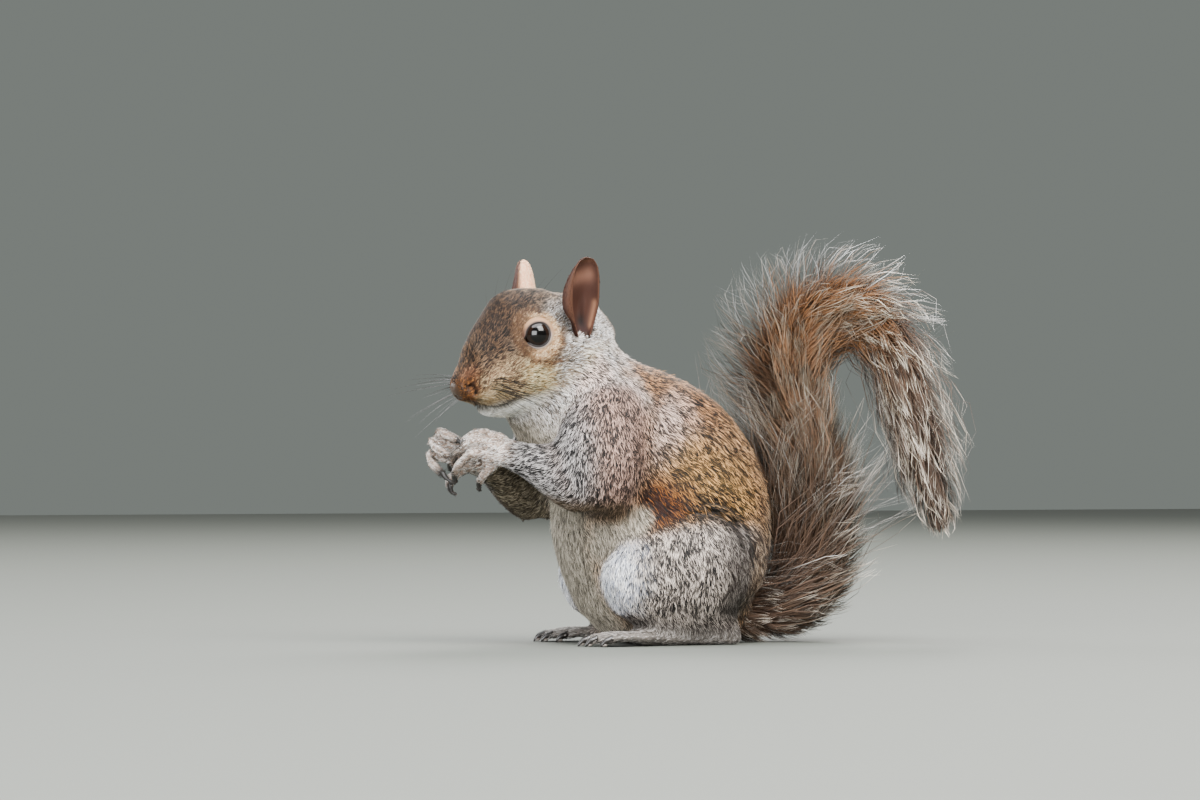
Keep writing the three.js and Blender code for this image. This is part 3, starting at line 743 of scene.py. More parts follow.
skin = Surface(coat.points.copy(), coat.triangles)
for _ in range(6):
    skin.points = skin.points - skin.normals() * deep[:, None] / 6
    skin.points = skin.smoothed(skin.points, 1, 0.35 * softness)
skin.points[:, 2] = np.maximum(skin.points[:, 2], 0.35 * MM)
for eye in EYES.values():
    away = skin.points - eye
    gap = np.linalg.norm(away, axis=1)
    near = (gap < 7.0 * MM) & (gap > 5.2 * MM)
    skin.points[near] = eye + unit(away[near]) * 6.1 * MM


def eyelid(eye, s):
    """A closed ring of lid round one eye: an almond opening with its corner to the front and a round rim."""
    gaze = unit(GAZE * np.array([s, 1, 1])) @ HEAD_AXES
    front = unit(HEAD_AXES[1] - gaze * (HEAD_AXES[1] @ gaze))
    above = unit(HEAD_AXES[2] - gaze * (HEAD_AXES[2] @ gaze) - front * (HEAD_AXES[2] @ front))
    turns = np.linspace(0, 2 * np.pi, 72, endpoint=False)
    past = lambda at: np.angle(np.exp(1j * (turns - math.radians(at))))
    bend = lambda at, width: np.exp(-((past(at) / math.radians(width)) ** 2))
    opening = np.radians(44.5 + 17 * bend(4, 15) + 3 * bend(155, 26) - 2 * bend(80, 50))
    profile = [(-3, 6.36), (-1, 6.5), (0, 6.7), (1.5, 6.92), (4, 7.05), (9, 7.12), (16, 7.2), (26, 7.25)]
    profile += [(38, 7.15), (52, 6.85), (62, 6.3), (58, 5.6), (30, 5.5), (5, 5.7)]
    points = []
    for past, radius in profile:
        polar = (opening + math.radians(past))[:, None]
        spoke = np.cos(turns)[:, None] * front + np.sin(turns)[:, None] * above
        points.append(eye + radius * MM * (np.cos(polar) * gaze + np.sin(polar) * spoke))
    rows = len(profile)
    a = (np.arange(rows)[:, None] * 72 + np.arange(72)).ravel()
    b = (np.arange(rows)[:, None] * 72 + (np.arange(72) + 1) % 72).ravel()
    ahead = lambda corner: (corner + 72) % (72 * rows)
    quads = np.stack([a, ahead(a), ahead(b), b], axis=1)
    past = np.repeat([row[0] for row in profile], 72)
    return np.concatenate(points), quads if s > 0 else quads[:, ::-1], past, np.tile(turns, rows)


skin_tree = skin.tree()
# the skin under the coat is darker than the locks: the underfur's slate tone, and painted shade between the
# locks
hide = markings[:, :3] * 0.45 + markings[:, 3:6] * 0.35
hollow = ear_hollow * ease(0.98, 0.9, np.abs(ear_across)) * on_ear
rim = on_ear * ear_hollow * ease(0.86, 0.97, np.maximum(np.abs(ear_across), (ear_up - 0.3) * 1.45))
on_leaf = np.stack([ear_up * 3, ear_across], axis=1)
for code, cover in (
    # the hollow's own reddish brown, darkened by painted shade; the far ear's is lit with painted light below
    ("#381c11", hollow),
    ("#704d3e", hollow * near_line(on_leaf, [(2.2, -0.5), (2.3, 0.4)], 0.3)),  # painted sheen: a pale band of highlight near the tip
    ("#140603", hollow * near_line(on_leaf, [(0.5, 0.12), (0.05, 0.34)], 0.24)),  # painted shade in the dark notch
    # painted shade deep in the cup at the ear's root
    ("#2c1510", hollow * ease(0.16, 0.05, ear_up)),
    ("#815a44", hollow * near_line(on_leaf, [(1.2, 0.78), (0.4, 0.72)], 0.14)),  # a lit fold behind the notch
    ("#563625", rim * 0.8),
    # painted shade in the hollow of the head round the ear's root
    ("#2a1a12", by_ear),
    ("#ffbd92", is_part("ear_right") * np.maximum(hollow, rim) * 0.9),  # light falls through the far ear
):
    hide += cover[:, None] * (linear(code) - hide)
bm = bmesh.new()
for place in skin.points:
    bm.verts.new(place)
bm.verts.ensure_lookup_table()
for corners in skin.triangles:
    bm.faces.new([bm.verts[k] for k in corners])
mark = bm.verts.layers.float_color.new("marking")
for vert, colour in zip(bm.verts, hide):
    vert[mark] = (*colour, 1)
for _ in range(2):
    places = in_head(np.array([v.co for v in bm.verts]))
    detailed = (places[:, 1] > 17) & (np.abs(places[:, 0]) < 16) & (places[:, 2] < 6) & (places[:, 2] > -24)
    chosen = [e for e in bm.edges if detailed[e.verts[0].index] and detailed[e.verts[1].index]]
    bmesh.ops.subdivide_edges(bm, edges=chosen, cuts=1, use_grid_fill=True, smooth=0.4)
    bm.verts.index_update()
bm.normal_update()
points = np.array([v.co for v in bm.verts])
normals = np.array([v.normal for v in bm.verts])
colours = np.array([v[mark] for v in bm.verts])[:, :3]
mirrored = halved(in_head(points))
NOSTRIL = [(6.0, 34.6, -4.4), (6.9, 33.5, -5.0), (7.0, 33.4, -6.6), (6.6, 33.7, -8.2)]
CLEFT = [(0, 40, -6.5), (0, 37.5, -10), (0, 33, -14.6)]
pad = ease(1.3, 0.75, off_centre(mirrored, (0, 37.5, -6), (6.5, 4, 5)))
into = np.zeros(len(points))
dark = np.zeros(len(points))
for line, width, depth in ((NOSTRIL, 0.75, 1.7), (MOUTH, 0.9, 1.3), (CLEFT, 0.5, 0.8)):
    cover = near_line(mirrored, laid_on(skin_tree, line), width)
    into += depth * cover
    dark = np.maximum(dark, cover)
points = points + normals * ((0.3 * pad - into) * MM)[:, None]
colours = colours + (linear("#3a281b") - colours) * pad[:, None]
# painted shade: the carved nostrils, mouth line and lip cleft are darkened to near black
colours = colours + (linear("#090504") - colours) * (dark**1.3)[:, None]
wet = pad.copy()
quads = [[v.index for v in f.verts] for f in bm.faces]
bm.free()
for s, side in ((1, "left"), (-1, "right")):
    ring, faces, past, turns = eyelid(EYES[side], s)
    ahead = ease(0.2, 0.9, np.cos(turns))[:, None]
    below = ease(0, 0.9, -np.sin(turns))[:, None]
    soft = linear("#8c6a4c") * (1 - below) + linear("#b3977a") * below
    soft = soft * (1 - ahead) + linear("#4e3527") * ahead
    lid = linear("#5c463b") * (1 - below) + linear("#a39794") * below
    tint = np.where((past < 6)[:, None], lid, soft)
    tint = np.where((past < 2)[:, None], linear("#140c09"), tint)
    faces = faces + len(points)
    points = np.concatenate([points, ring])
    colours = np.concatenate([colours, tint])
    wet = np.concatenate([wet, ease(3, 0, past)])
    quads += faces.tolist()

hide_material, tree, shader = new_material(
    "hide, bare on nose and lids", IOR=1.4, Subsurface_Weight=0.08, Subsurface_Radius=(0.0012, 0.0006, 0.0004)
)
marking = add(tree, "ShaderNodeAttribute", attribute_name="marking")
moist = add(tree, "ShaderNodeAttribute", attribute_name="moist")
place = add(tree, "ShaderNodeTexCoord")
# pores and fine creases, 0.4 mm apart, so the nose pad and the lids look like leather and not like plastic
pores = add(tree, "ShaderNodeTexVoronoi", {"Vector": place.outputs["Object"]}, Scale=1 / (0.4 * MM))
relief = add(tree, "ShaderNodeBump", {"Height": pores.outputs["Distance"]}, Strength=0.35, Distance=0.15 * MM)
gloss = add(tree, "ShaderNodeMapRange", {"Value": moist.outputs["Fac"]}, To_Min=0.74, To_Max=0.34)
tree.links.new(marking.outputs["Color"], shader.inputs["Base Color"])
tree.links.new(gloss.outputs["Result"], shader.inputs["Roughness"])
tree.links.new(relief.outputs["Normal"], shader.inputs["Normal"])

skin_mesh = bpy.data.meshes.new("skin")
skin_mesh.from_pydata(points.tolist(), [], quads)
rgba = np.concatenate([colours, np.ones((len(colours), 1))], axis=1).astype(np.float32)
skin_mesh.attributes.new("marking", "FLOAT_COLOR", "POINT").data.foreach_set("color", rgba.ravel())
skin_mesh.attributes.new("moist", "FLOAT", "POINT").data.foreach_set("value", wet.astype(np.float32))
skin_mesh.polygons.foreach_set("use_smooth", np.ones(len(quads), bool))
skin_piece = new_piece("skin", skin_mesh, hide_material)
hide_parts(*FLESH, *BRUSH)

# --------------------------------------------------------------------------------------------------
# Eyes: large dark globes set deep in the lids. Behind the clear cornea the iris is brown-black round a
# black pupil. Each is one ball with the cornea's slight bulge, wet and glossy.

eye_material, tree, shader = new_material(
    "wet cornea over a dark iris", Roughness=0.12, IOR=1.38, Coat_Weight=0.1, Coat_Roughness=0.08
)
# the angle from the middle of the pupil, so that the iris shows only as a faint brown ring
polar = add(tree, "ShaderNodeAttribute", attribute_name="polar")
iris = add(tree, "ShaderNodeValToRGB", {"Fac": polar.outputs["Fac"]})
iris.color_ramp.elements[0].color = (*linear("#030202"), 1)
iris.color_ramp.elements[1].color = (*linear("#050303"), 1)
for position, code in ((0.30, "#040303"), (0.36, "#1b0f09"), (0.5, "#150c08"), (0.6, "#050303")):
    iris.color_ramp.elements.new(position).color = (*linear(code), 1)
tree.links.new(iris.outputs["Color"], shader.inputs["Base Color"])

for s, side in ((1, "left"), (-1, "right")):
    gaze = unit(GAZE * np.array([s, 1, 1])) @ HEAD_AXES
    bm = bmesh.new()
    bmesh.ops.create_uvsphere(bm, u_segments=64, v_segments=40, radius=1)
    aim = Vector(gaze).to_track_quat("Z", "Y").to_matrix()
    angle = bm.verts.layers.float.new("polar")
    for vert in bm.verts:
        vert[angle] = math.acos(max(-1, min(1, vert.co.z))) / math.pi * 2
        swell = 1 + 0.022 * math.exp(-((vert[angle] / 0.42) ** 4))
        vert.co = aim @ (vert.co * swell * EYE_RADIUS) + Vector(EYES[side])
    for facet in bm.faces:
        facet.smooth = True
    globe = new_piece(f"eye_{side}_globe", as_mesh(bm, f"eye_{side}_globe"), eye_material)
    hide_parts(f"eye_{side}")

# --------------------------------------------------------------------------------------------------
# Claw horn: each claw is one curved, sharp cone, oval across and flattened at the sides.

claw_material, tree, shader = new_material("dark claw horn", Roughness=0.32, IOR=1.54)
place = add(tree, "ShaderNodeTexCoord")
# growth streaks every 0.5 mm, drawn coarser than real ones so that they show
streaks = add(
    tree, "ShaderNodeTexNoise", {"Vector": place.outputs["Object"]}, Scale=1 / (0.5 * MM), Detail=3.0
)
horn = add(tree, "ShaderNodeValToRGB", {"Fac": streaks.outputs["Fac"]})
for stop, position, code in zip(horn.color_ramp.elements, (0.35, 0.8), ("#0b0908", "#1f1813")):
    stop.position = position
    stop.color = (*linear(code), 1)
tree.links.new(horn.outputs["Color"], shader.inputs["Base Color"])

CLAW_RADIUS = 1.35 * MM
bm = bmesh.new()
bm = bmesh.new()
for root, heading, hook in CLAWS:
    rings = []
    sideways = np.cross(heading, unit(hook - heading * (hook @ heading)))
    # a claw that would sink into the floor is bent up until its tip lies on it
    sunk = max(0.0, 0.15 * MM - (root + CLAW_LENGTH * (0.88 * heading + 0.42 * hook))[2])
    for t in np.linspace(-0.3, 1, 12):
        far = max(t, 0)
        middle = root + CLAW_LENGTH * (heading * (t - 0.12 * far**2) + hook * 0.42 * far**2)
        middle[2] += sunk * far
        across = CLAW_RADIUS * math.sqrt(max(0.0, 1 - far**1.5)) + 0.02 * MM
        turns = np.linspace(0, 2 * np.pi, 10, endpoint=False)
        ring = [middle + across * (0.78 * math.cos(a) * sideways + math.sin(a) * hook) for a in turns]
        rings.append([(x, y, max(z, 0.05 * MM)) for x, y, z in ring])
    add_tube(bm, rings)
bmesh.ops.recalc_face_normals(bm, faces=bm.faces)
for facet in bm.faces:
    facet.smooth = True
new_piece("claws", as_mesh(bm, "claws"), claw_material)

# --------------------------------------------------------------------------------------------------
# Coat: short locks of hair, each a slim spindle rooted in the skin that lies along the body and ends at the
# coat's surface. Neighbours lean together, as hair does, and a few stray ones stand out.


def lock_piece(name, paths, girths, outwards, colours, places, material):
    """One mesh of many locks. Each follows its path from root to tip and has three sides."""
    count, steps = paths.shape[:2]
    rings = steps - 2
    heading = unit(paths[:, -1] - paths[:, 0])
    across = unit(np.cross(heading, outwards))
    up = np.cross(across, heading)
    spokes = np.stack([-across, 0.75 * up, across], axis=1)
    verts = np.empty((count, 2 + 3 * rings, 3), np.float32)
    facing = np.empty_like(verts)
    verts[:, 0] = paths[:, 0]
    verts[:, -1] = paths[:, -1]
    facing[:, 0] = facing[:, -1] = outwards
    for k in range(rings):
        spread = girths[:, k, None, None] / 2 * spokes
        verts[:, 1 + 3 * k : 4 + 3 * k] = paths[:, k + 1, None] + spread
        facing[:, 1 + 3 * k : 4 + 3 * k] = unit(1.1 * outwards[:, None] + spokes)
    tone = np.concatenate([colours[:, :1], np.repeat(colours[:, 1:-1], 3, axis=1), colours[:, -1:]], axis=1)
    last = 1 + 3 * rings
    faces = [(2, 1, 0), (3, 2, 0), (1, 3, 0)]
    for k in range(rings - 1):
        low = 1 + 3 * k
        for a, b in ((0, 1), (1, 2), (2, 0)):
            faces += [(low + a, low + b, low + b + 3), (low + a, low + b + 3, low + a + 3)]
    end = last - 3
    faces += [(end, end + 1, last), (end + 1, end + 2, last), (end + 2, end, last)]
    corners = (np.array(faces)[None] + np.arange(count)[:, None, None] * (last + 1)).reshape(-1)
    mesh = bpy.data.meshes.new(name)
    mesh.vertices.add(count * (last + 1))
    mesh.vertices.foreach_set("co", verts.ravel())
    mesh.loops.add(len(corners))
    mesh.loops.foreach_set("vertex_index", corners.astype(np.int32))
    mesh.polygons.add(len(corners) // 3)
    mesh.polygons.foreach_set("loop_start", np.arange(0, len(corners), 3, dtype=np.int32))
    mesh.polygons.foreach_set("use_smooth", np.ones(len(corners) // 3, bool))
    mesh.update(calc_edges=True)
    mesh.attributes.new("custom_normal", "FLOAT_VECTOR", "POINT").data.foreach_set("vector", facing.ravel())
    rgba = np.concatenate([tone, np.ones((*tone.shape[:2], 1))], axis=2).astype(np.float32)
    mesh.attributes.new("lock", "FLOAT_COLOR", "POINT").data.foreach_set("color", rgba.ravel())
    # each lock is a patch 0.003 across, at its root's place on the unrolled skin
    v = np.concatenate([[-0.5], np.repeat(np.linspace(-0.5, 0.5, rings + 2)[1:-1], 3), [0.5]])
    u = np.concatenate([[0], np.tile([-0.5, 0, 0.5], rings), [0]])
    spot = places[:, None] + 0.003 * np.stack([u, v], axis=1)
    spot = spot.reshape(-1, 2)[corners].astype(np.float32)
    mesh.uv_layers.new(name="OFBake").data.foreach_set("uv", spot.ravel())
    return new_piece(name, mesh, material)


def unrolled(points, faces):
    """Places on the skin unrolled round the long axis of each body part, side by side from 0 to 1."""
    part = part_of[skin.triangles[faces, 0]]
    places = np.empty((len(points), 2))
    present = np.unique(part)
    for cell, number in enumerate(present):
        body = skin.points[part_of == number]
        middle = body.mean(0)
        axes = np.linalg.svd(body[::7] - middle, full_matrices=False)[2]
        own = (points[part == number] - middle) @ axes.T
        reach = (body - middle) @ axes[0]
        angle = np.arctan2(own[:, 2], own[:, 1]) / (2 * np.pi) + 0.5
        height = (own[:, 0] - reach.min()) / np.ptp(reach)
        across = (cell + 0.01 + 0.98 * angle) / len(present)
        places[part == number] = np.stack([across, 0.01 + 0.98 * height], axis=1)
    return places


def coat_material(name, gloss):
    """Hair: keratin, dull across and faintly glossy along, with a soft bloom where it turns away."""
    material, tree, shader = new_material(
        name, Roughness=gloss, IOR=1.55, Specular_IOR_Level=0.16, Sheen_Weight=0.03, Sheen_Roughness=0.5
    )
    lock = add(tree, "ShaderNodeAttribute", attribute_name="lock")
    tree.links.new(lock.outputs["Color"], shader.inputs["Base Color"])
    return material


def grow(name, material, parts, seed, side=0, share=1.0, bald=None):
    """Plants a coat piece on some parts of the skin, all of them or only the left or right half."""
    dice = np.random.default_rng(seed)
    corners = skin.triangles
    chosen = np.isin(part_of[corners[:, 0]], [PARTS.index(part) for part in parts])
    if side:
        chosen &= side * (skin.points[corners[:, 0], 0] - 0.001) > 0
    faces = np.flatnonzero(chosen)
    a, b, c = (skin.points[corners[faces, k]] for k in range(3))
    area = np.linalg.norm(np.cross(b - a, c - a), axis=1) / 2 / MM**2
    cover = locks if bald is None else locks * (1 - bald)
    reach = np.cumsum(area * cover[corners[faces]].mean(1) * share)
    count = int(reach[-1])
    face = faces[np.searchsorted(reach, np.arange(count) + dice.random(count)).clip(0, len(faces) - 1)]
    weight = dice.dirichlet((1, 1, 1), count)
    at = lambda field: np.einsum("ij,ij...->i...", weight, field[corners[face]])
    root = at(skin.points)
    outwards = unit(at(coat_out))
    along = unit(at(runs))
    turn = (0.22 * dice.normal(size=count) + 0.25 * ripple(root, 6, seed))[:, None]
    along = unit(along * np.cos(turn) + np.cross(outwards, along) * np.sin(turn))
    along = unit(along - outwards * (along * outwards).sum(1)[:, None])
    length = (at(lengths) * dice.uniform(0.7, 1.15, count))[:, None]
    depth = at(deep)[:, None]
    tip = root + along * length + outwards * depth
    # each lock leans towards the nearest of those that lead, and some share the leader's tone
    leaders = np.flatnonzero(dice.random(count) < 0.3)
    leader = nearest(root, root[leaders], leaders)
    lean = (root[leader] - root) * dice.uniform(0.1, 0.6, count)[:, None]
    tip += lean
    stray = dice.random(count) < 0.05
    stand = np.where(stray, dice.uniform(0.3, 1.3, count), dice.uniform(-0.35, 0.25, count))
    stand = stand * np.minimum(length[:, 0] / (6 * MM), 1) * MM
    painted_fold_shade = np.empty(count)
    for k in range(count):
        place, normal, landed, _ = coat_tree.find_nearest(tip[k])
        tip[k] = place + normal * stand[k]
        painted_fold_shade[k] = FOLDED[coat.triangles[landed, 0]]
    middle = root + along * length * 0.42 + outwards * depth * 0.8 + lean * 0.4
    paths = np.stack([root - outwards * 0.1 * MM, middle, tip], axis=1)
    paths[..., 2] = np.maximum(paths[..., 2], 0.15 * MM)
    girth = (at(widths) * dice.uniform(0.75, 1.25, count))[:, None]
    tint = at(markings)
    main, deep_tone, pale = tint[:, :3], tint[:, 3:6], tint[:, 6:9]
    chance = dice.random(count)
    chance = np.where(dice.random(count) < 0.45, chance[leader], chance)[:, None]
    dark_share, pale_share = tint[:, 9:10], tint[:, 10:11]
    lighter = lambda chance: np.where(chance > 1 - pale_share, pale, main)
    pick = lambda chance: np.where(chance < dark_share, deep_tone, lighter(chance))
    body = pick(chance)
    band = pick(dice.random(count)[:, None]) * 0.5 + body * 0.5
    level = dice.uniform(0.85, 1.12, count)[:, None]
    # each lock dark at its root, for the slate underfur and as painted shade between the locks, and lighter
    # at its tip
    colours = np.stack([body * 0.2 + deep_tone * 0.2, band * 0.6 * level, body * 1.3 * level], axis=1)
    # painted shade: locks that end in a crease are darker past the root
    colours[:, 1:] *= (1 - 0.7 * painted_fold_shade)[:, None, None]
    piece = lock_piece(name, paths, girth, outwards, colours, unrolled(root, face), material)


# no hair on the nose pad, the nostrils, the lids, the claws, the lips and in the hollows of the ears
bare = np.max([
    ease(1.2, 0.85, off_centre(face_at, (0, 38.2, -6), (2.4, 3.2, 3))),
    ease(0.2, 0.5, near_line(side_at, laid_on(coat_tree, NOSTRIL), 1.0)) * on_head,
    ease(7.0, 6.3, eye_gap),
    ease(3.2 * MM, 2.0 * MM, claw_gap),
    ease(0.6, 0.9, on_mouth),
    ease(0.55, 0.95, by_ear),
    on_ear * ear_hollow,
], axis=0)
short_coat = coat_material("short agouti hair", 0.6)
for side, s, share in (("left", 1, 1.35), ("right", -1, 0.85)):
    arm = [f"upper_arm_{side}", f"forearm_{side}"]
    leg = [f"thigh_{side}", f"lower_leg_{side}"]
    grow(f"coat_head_{side}", short_coat, ["head"], 22 - s, side=s, share=share, bald=bare)
    grow(f"coat_neck_{side}", short_coat, ["neck"], 25 - s, side=s, share=share)
    grow(f"coat_trunk_{side}", short_coat, ["trunk"], 28 - s, side=s, share=share)
    grow(f"coat_arm_{side}", short_coat, arm, 31 - s, share=share, bald=bare)
    grow(f"coat_leg_{side}", short_coat, leg, 34 - s, share=share)
grow("coat_ears", short_coat, ["ear_left", "ear_right"], 36, share=0.7, bald=bare)
grow("coat_hands", short_coat, ["hand_left", "hand_right"], 37, bald=bare)
grow("coat_feet", short_coat, ["hind_foot_left", "hind_foot_right"], 38, share=0.7, bald=bare)

# --------------------------------------------------------------------------------------------------
# Brush: the long hair of the tail, rooted all round its core and swept towards its tip. Each hair is rufous
# brown at its root, black past the middle and white at its tip, so the brush has a brown heart and a
# frosted, wispy edge.

BRUSH_HAIRS = 13500  # in each third
EDGE_BANDS = (0.0, 0.22, 0.36, 0.46, 0.56, 0.7, 0.86)  # shares of the way out to the edge of the brush
FACE_BANDS = (0.0, 0.3, 0.52, 0.66, 0.78, 0.9, 1.0)
EDGE_TONES = ("#3b2414", "#6d4728", "#3a2a1d", "#0f0c0a", "#16130f", "#8f8b84", "#f6f4f0")
FACE_TONES = ("#2a1b10", "#694529", "#7b5535", "#4d3725", "#6d553f", "#a89175", "#e9dcc8")
brush_form = Surface(*arrays(one_surface(solids(BRUSH, JOIN_GAP), 2.2 * MM)))
brush_form.points = brush_form.smoothed(brush_form.points, 6, 0.5)
brush_tree = brush_form.tree()
brush_material = coat_material("long banded tail hair", 0.5)


def brush_third(name, first, last, seed):
    """The hairs of one stretch of the tail, from share `first` to share `last` of its length."""
    dice = np.random.default_rng(seed)
    count = BRUSH_HAIRS
    share = first + (last - first) * (np.arange(count) + dice.random(count)) / count
    turn = dice.uniform(0, 2 * np.pi, count)
    # the outside of the hook and the tip are thin wisps, and the rest is dense
    thin = np.maximum(ease(0.1, -0.6, np.sin(turn)) * ease(0.3, 0.45, share), ease(0.8, 0.95, share))
    kept = dice.random(count) > thin * np.interp(share, (0.5, 0.65, 0.8), (0.0, 0.4, 0.68))
    share, turn, thin = share[kept], turn[kept], thin[kept]
    count = len(share)
    middle, tangent = tail_at(share)
    across, inward = around(tangent)
    spoke = np.cos(turn)[:, None] * across + np.sin(turn)[:, None] * inward
    spoke = unit(spoke + 0.2 * dice.normal(size=(count, 3)))
    core = np.interp(share, (0, 1), TAIL_CORE)[:, None] * MM
    root = middle + spoke * core * 0.8
    sweep = np.interp(
        share, (0, 0.2, 0.35, 0.5, 0.64, 0.76, 0.9, 1), (1.2, 0.9, 0.9, 0.75, 0.75, 1.4, 2.2, 4.0)
    )
    sweep = (sweep * dice.uniform(0.7, 1.35, count))[:, None]
    way = spoke + sweep * tangent + 0.3 * ripple(root + spoke * 0.01, 5, seed)[:, None] * across
    way = unit(way - (0.3 * ease(0.5, 0.68, share) * dice.uniform(0.3, 1.6, count))[:, None] * (0, 0, 1))
    reach = np.empty(count)
    for k in range(count):
        hit = brush_tree.ray_cast(Vector(root[k] + way[k] * MM), Vector(way[k]))
        reach[k] = hit[3] + MM if hit[0] is not None else 12 * MM
    reach = np.minimum(reach, 48 * MM) * (1 + 0.55 * ease(0.34, 0.2, share) * ease(0, -0.6, np.sin(turn)))
    # half of the hair is the short dense coat underneath, and a quarter are long guard hairs in wisps
    kind = dice.random(count)
    short = dice.uniform(0.4, 0.72, count) - 0.2 * thin
    part = np.where(kind < 0.5 + 0.22 * thin, short, dice.uniform(0.7, 0.95, count) - 0.18 * thin)
    part = np.where(kind > 0.74 + 0.06 * thin, dice.uniform(0.92, 1.16, count), part)
    part = np.where((kind > 0.985) & (share > 0.4), dice.uniform(1.1, 1.4, count), part)[:, None]
    length = reach[:, None] * part
    tip = root + way * length
    leaders = np.flatnonzero(dice.random(count) < 0.05)
    leader = nearest(tip, tip[leaders], leaders)
    drawn = dice.uniform(0.1, 0.6, count)[:, None] + 0.2 * (part > 0.85)
    tip += (tip[leader] - tip) * drawn
    tip += tangent * 3 * MM * dice.uniform(0, 1, count)[:, None]
    way_of_clump = dice.normal(size=(count, 3))
    loose = (0.05 + 0.07 * thin[:, None]) * dice.normal(size=(count, 3))
    bow = spoke * length * 0.12 + length * (0.07 * way_of_clump[leader] + loose)
    one = root + (tip - root) * 0.36 + bow
    two = root + (tip - root) * 0.70 + bow * 0.8
    paths = np.stack([root, one, two, tip], axis=1)
    paths[..., 2] = np.maximum(paths[..., 2], 0.2 * MM)
    girth = dice.uniform(0.75, 1.2, count)[:, None] * np.where(part > 0.85, (0.36, 0.23), (0.46, 0.34)) * MM
    # 1 where a hair points across the tail, 0 where it lies in the plane of its hook
    flat = np.maximum(ease(0.15, 0.7, np.abs(np.cos(turn))), 0.7 * ease(0.66, 0.76, share))[:, None]
    out = np.array([0.05, 0.36, 0.70, 1.0]) * part
    red = (0.35 + 0.65 * np.exp(-(((share - 0.63) / 0.13) ** 2)))[:, None]
    table = lambda tones: np.array([linear(code) for code in tones])
    shade = lambda bands, tones: np.stack([np.interp(out, bands, tone) for tone in table(tones).T], axis=-1)
    edge, face_on = shade(EDGE_BANDS, EDGE_TONES), shade(FACE_BANDS, FACE_TONES)
    mixed = edge * (1 - flat[..., None]) + face_on * flat[..., None]
    dull = mixed.mean(-1, keepdims=True) * (0.98, 0.9, 0.8)
    # painted light and shade along the brush: the rising stretch brightened up to 4.6 times and both ends
    # darkened, less so towards the tips of the hairs
    painted_light_and_shade = np.interp(share, (0, 0.25, 0.38, 0.5, 0.6, 0.7, 1), (0.5, 0.7, 3.6, 4.6, 1.55, 0.38, 0.5))[:, None]
    # painted shade on the side of the rising tail that faces the back
    painted_shade_by_back = ease(0.1, -0.5, np.sin(turn)) * ease(0.56, 0.5, share) * ease(0.3, 0.38, share)
    painted_light_and_shade = (painted_light_and_shade * (1 - 0.55 * painted_shade_by_back[:, None])) ** ease(0.95, 0.7, out)
    colours = (mixed * red[..., None] + (0.62 * dull + 0.3 * mixed) * (1 - red[..., None])) * painted_light_and_shade[..., None]
    lone = dice.random(count)
    colours[lone < 0.16, 2:] *= 0.3
    pale = (lone > np.interp(share, (0.3, 0.5, 0.7, 1), (1, 0.95, 0.94, 0.97))) & (part[:, 0] > 0.7)
    colours[pale, 2:] = linear("#c9bda9") * dice.uniform(0.7, 1.1, pale.sum())[:, None, None]
    colours *= dice.uniform(0.75, 1.25, count)[:, None, None]
    colours = np.minimum(colours, 0.9)
    outwards = unit(spoke - way * (spoke * way).sum(1)[:, None])
    places = 0.01 + 0.98 * np.stack([turn / (2 * np.pi), (share - first) / (last - first)], axis=1)
    piece = lock_piece(name, paths, girth, outwards, colours, places, brush_material)


brush_third("brush_lower", 0.0, 0.35, 41)
brush_third("brush_middle", 0.35, 0.66, 42)
brush_third("brush_upper", 0.66, 1.0, 43)
grow("coat_tail_core", short_coat, ["tail"], 44)

# --------------------------------------------------------------------------------------------------
# Whiskers: stiff black hairs in rows on the lip pads, with a few over the eyes. Each is a tapering tube of
# three sides that sweeps back and droops. On the lip pads a short stub at the root marks its dark spot.

whisker_material, tree, shader = new_material(
    "black whisker hair", Base_Color=(*linear("#17110e"), 1), Roughness=0.35, IOR=1.55
)
dice = np.random.default_rng(51)
bm = bmesh.new()


def whisker(root, way, droop, length, girth):
    """One whisker from a root in the skin."""
    side = unit(np.cross(way, droop + 1e-6))
    up = np.cross(side, way)
    spokes = [math.cos(a) * side + math.sin(a) * up for a in np.radians([0, 120, 240])]
    rings = []
    for t in np.linspace(0, 1, 10):
        middle = root + length * (way * t + droop * t * t)
        rings.append([middle + girth / 2 * (1 - 0.9 * t) * spoke for spoke in spokes])
    add_tube(bm, rings)


def on_skin(left, forward, up):
    """The place on the skin next to a place in the head's frame, and the way the skin faces there."""
    place, normal = skin_tree.find_nearest(Vector(from_head(left, forward, up)))[:2]
    return np.array(place), np.array(normal)


for s, swept in ((1, (0.62, -0.62, -0.48)), (-1, (-0.6, 0.5, 0.3))):
    for row in range(4):
        for column in range(5):
            forward, up = 29 - 1.4 * column + 0.3 * row, -4.8 - 1.9 * row - 0.3 * column
            root, normal = on_skin(s * 11.9, forward, up)
            back = np.array(swept) + (0, 0, -0.14 * row) + 0.12 * dice.normal(size=3)
            way = unit(unit(back) @ HEAD_AXES + 0.4 * normal)
            droop = np.array([0, 0.1, -0.12]) * dice.uniform(0.2, 1.2)
            whisker(root, way, droop, (16 + 5 * column + dice.uniform(-3, 3)) * MM, 0.4 * MM)
            whisker(root, unit(way + normal), 0 * droop, 1.3 * MM, 0.34 * MM)
    for k in range(3):
        root, normal = on_skin(s * (11 + k), 5 - 4 * k, 11)
        way = unit(np.array([s * 0.5, -0.5 - 0.2 * k, 0.7]) @ HEAD_AXES)
        whisker(root, way, np.array([0, 0.1, -0.1]), (15 + 3 * k) * MM, 0.16 * MM)
bmesh.ops.recalc_face_normals(bm, faces=bm.faces)
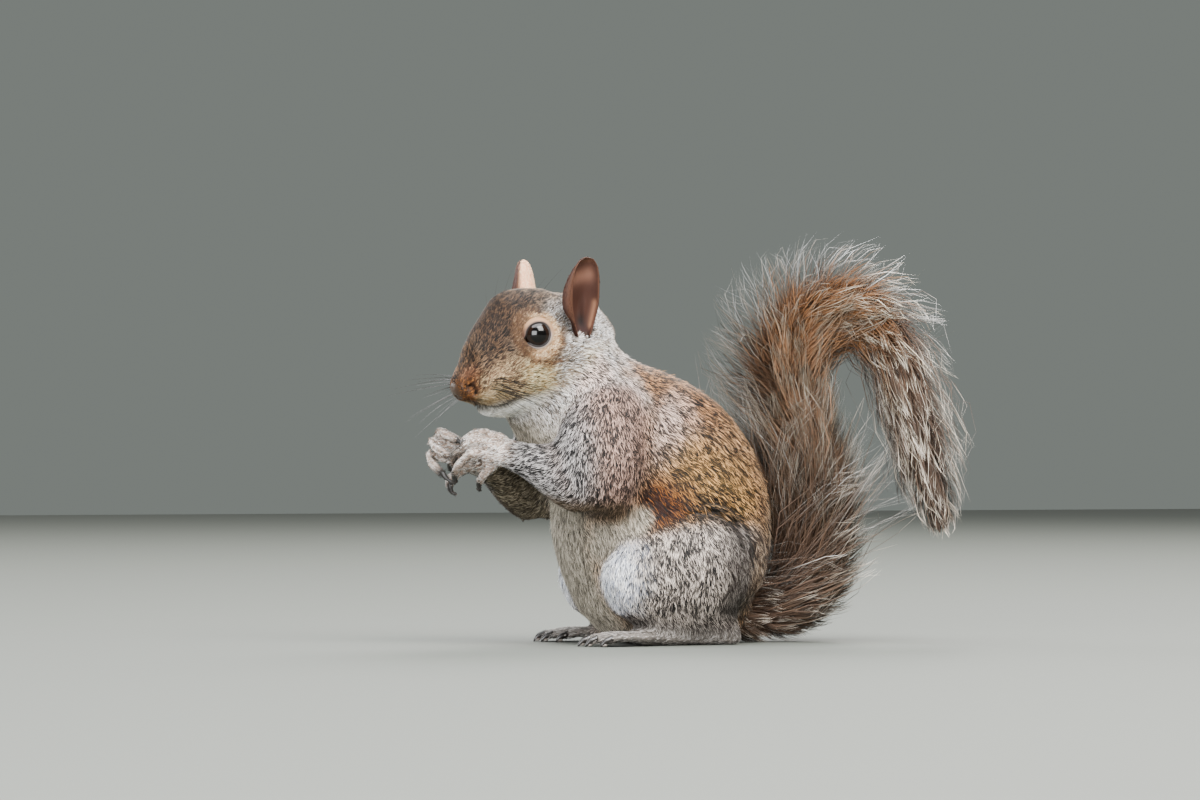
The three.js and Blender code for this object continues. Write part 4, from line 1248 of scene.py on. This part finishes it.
new_piece("whiskers", as_mesh(bm, "whiskers"), whisker_material)

# --------------------------------------------------------------------------------------------------
# Studio: a grey matt floor, a pale world and five soft lamps: a key and a sky from above, a fill low before
# the animal's left side, a rim from behind and a fill for the far side. The camera stands level with the
# chest, to the animal's left and a little ahead.

AIM = Vector((-0.01236, -0.0331, 0.097))
TOWARDS = Vector((0.951, -0.309, 0.0)).normalized()
camera = in_scene("camera", bpy.data.cameras.new("camera"))
camera.data.lens = 202.5
camera.data.sensor_width = 36
camera.data.clip_end = 20
camera.location = AIM + 2.7 * TOWARDS
camera.rotation_euler = (-TOWARDS).to_track_quat("-Z", "Y").to_euler()
bpy.context.scene.camera = camera

floor_mesh = bpy.data.meshes.new("floor")
floor_mesh.from_pydata([(-3, -3, 0), (3, -3, 0), (3, 3, 0), (-3, 3, 0)], [], [(0, 1, 2, 3)])
floor_material, tree, shader = new_material("matt floor", Base_Color=(*linear("#4f524c"), 1), Roughness=0.8)
floor_mesh.materials.append(floor_material)
in_scene("floor", floor_mesh)

world = bpy.data.worlds.new("studio")
bpy.context.scene.world = world
world.use_nodes = True
world.node_tree.nodes["Background"].inputs["Color"].default_value = (0.19, 0.21, 0.195, 1)
world.node_tree.nodes["Background"].inputs["Strength"].default_value = 1.0


def lamp(name, place, size, power, colour):
    """A soft square lamp aimed at the animal."""
    light = in_scene(name, bpy.data.lights.new(name, "AREA"))
    light.data.energy = power
    light.data.size = size
    light.data.color = colour
    light.location = place
    light.rotation_euler = (Vector(place) - AIM).to_track_quat("Z", "Y").to_euler()


lamp("key", (1.45, 0.45, 1.65), 1.4, 150, (1, 0.97, 0.93))
lamp("sky", (0.3, -0.2, 2.2), 2.2, 190, (0.94, 0.97, 1))
lamp("fill", (1.7, -1.3, 0.35), 1.4, 105, (0.97, 0.98, 1))
lamp("rim", (-1.5, 1.0, 1.5), 1.2, 75, (1, 0.98, 0.95))
lamp("far fill", (-1.6, -1.4, 0.9), 1.6, 55, (1, 1, 1))
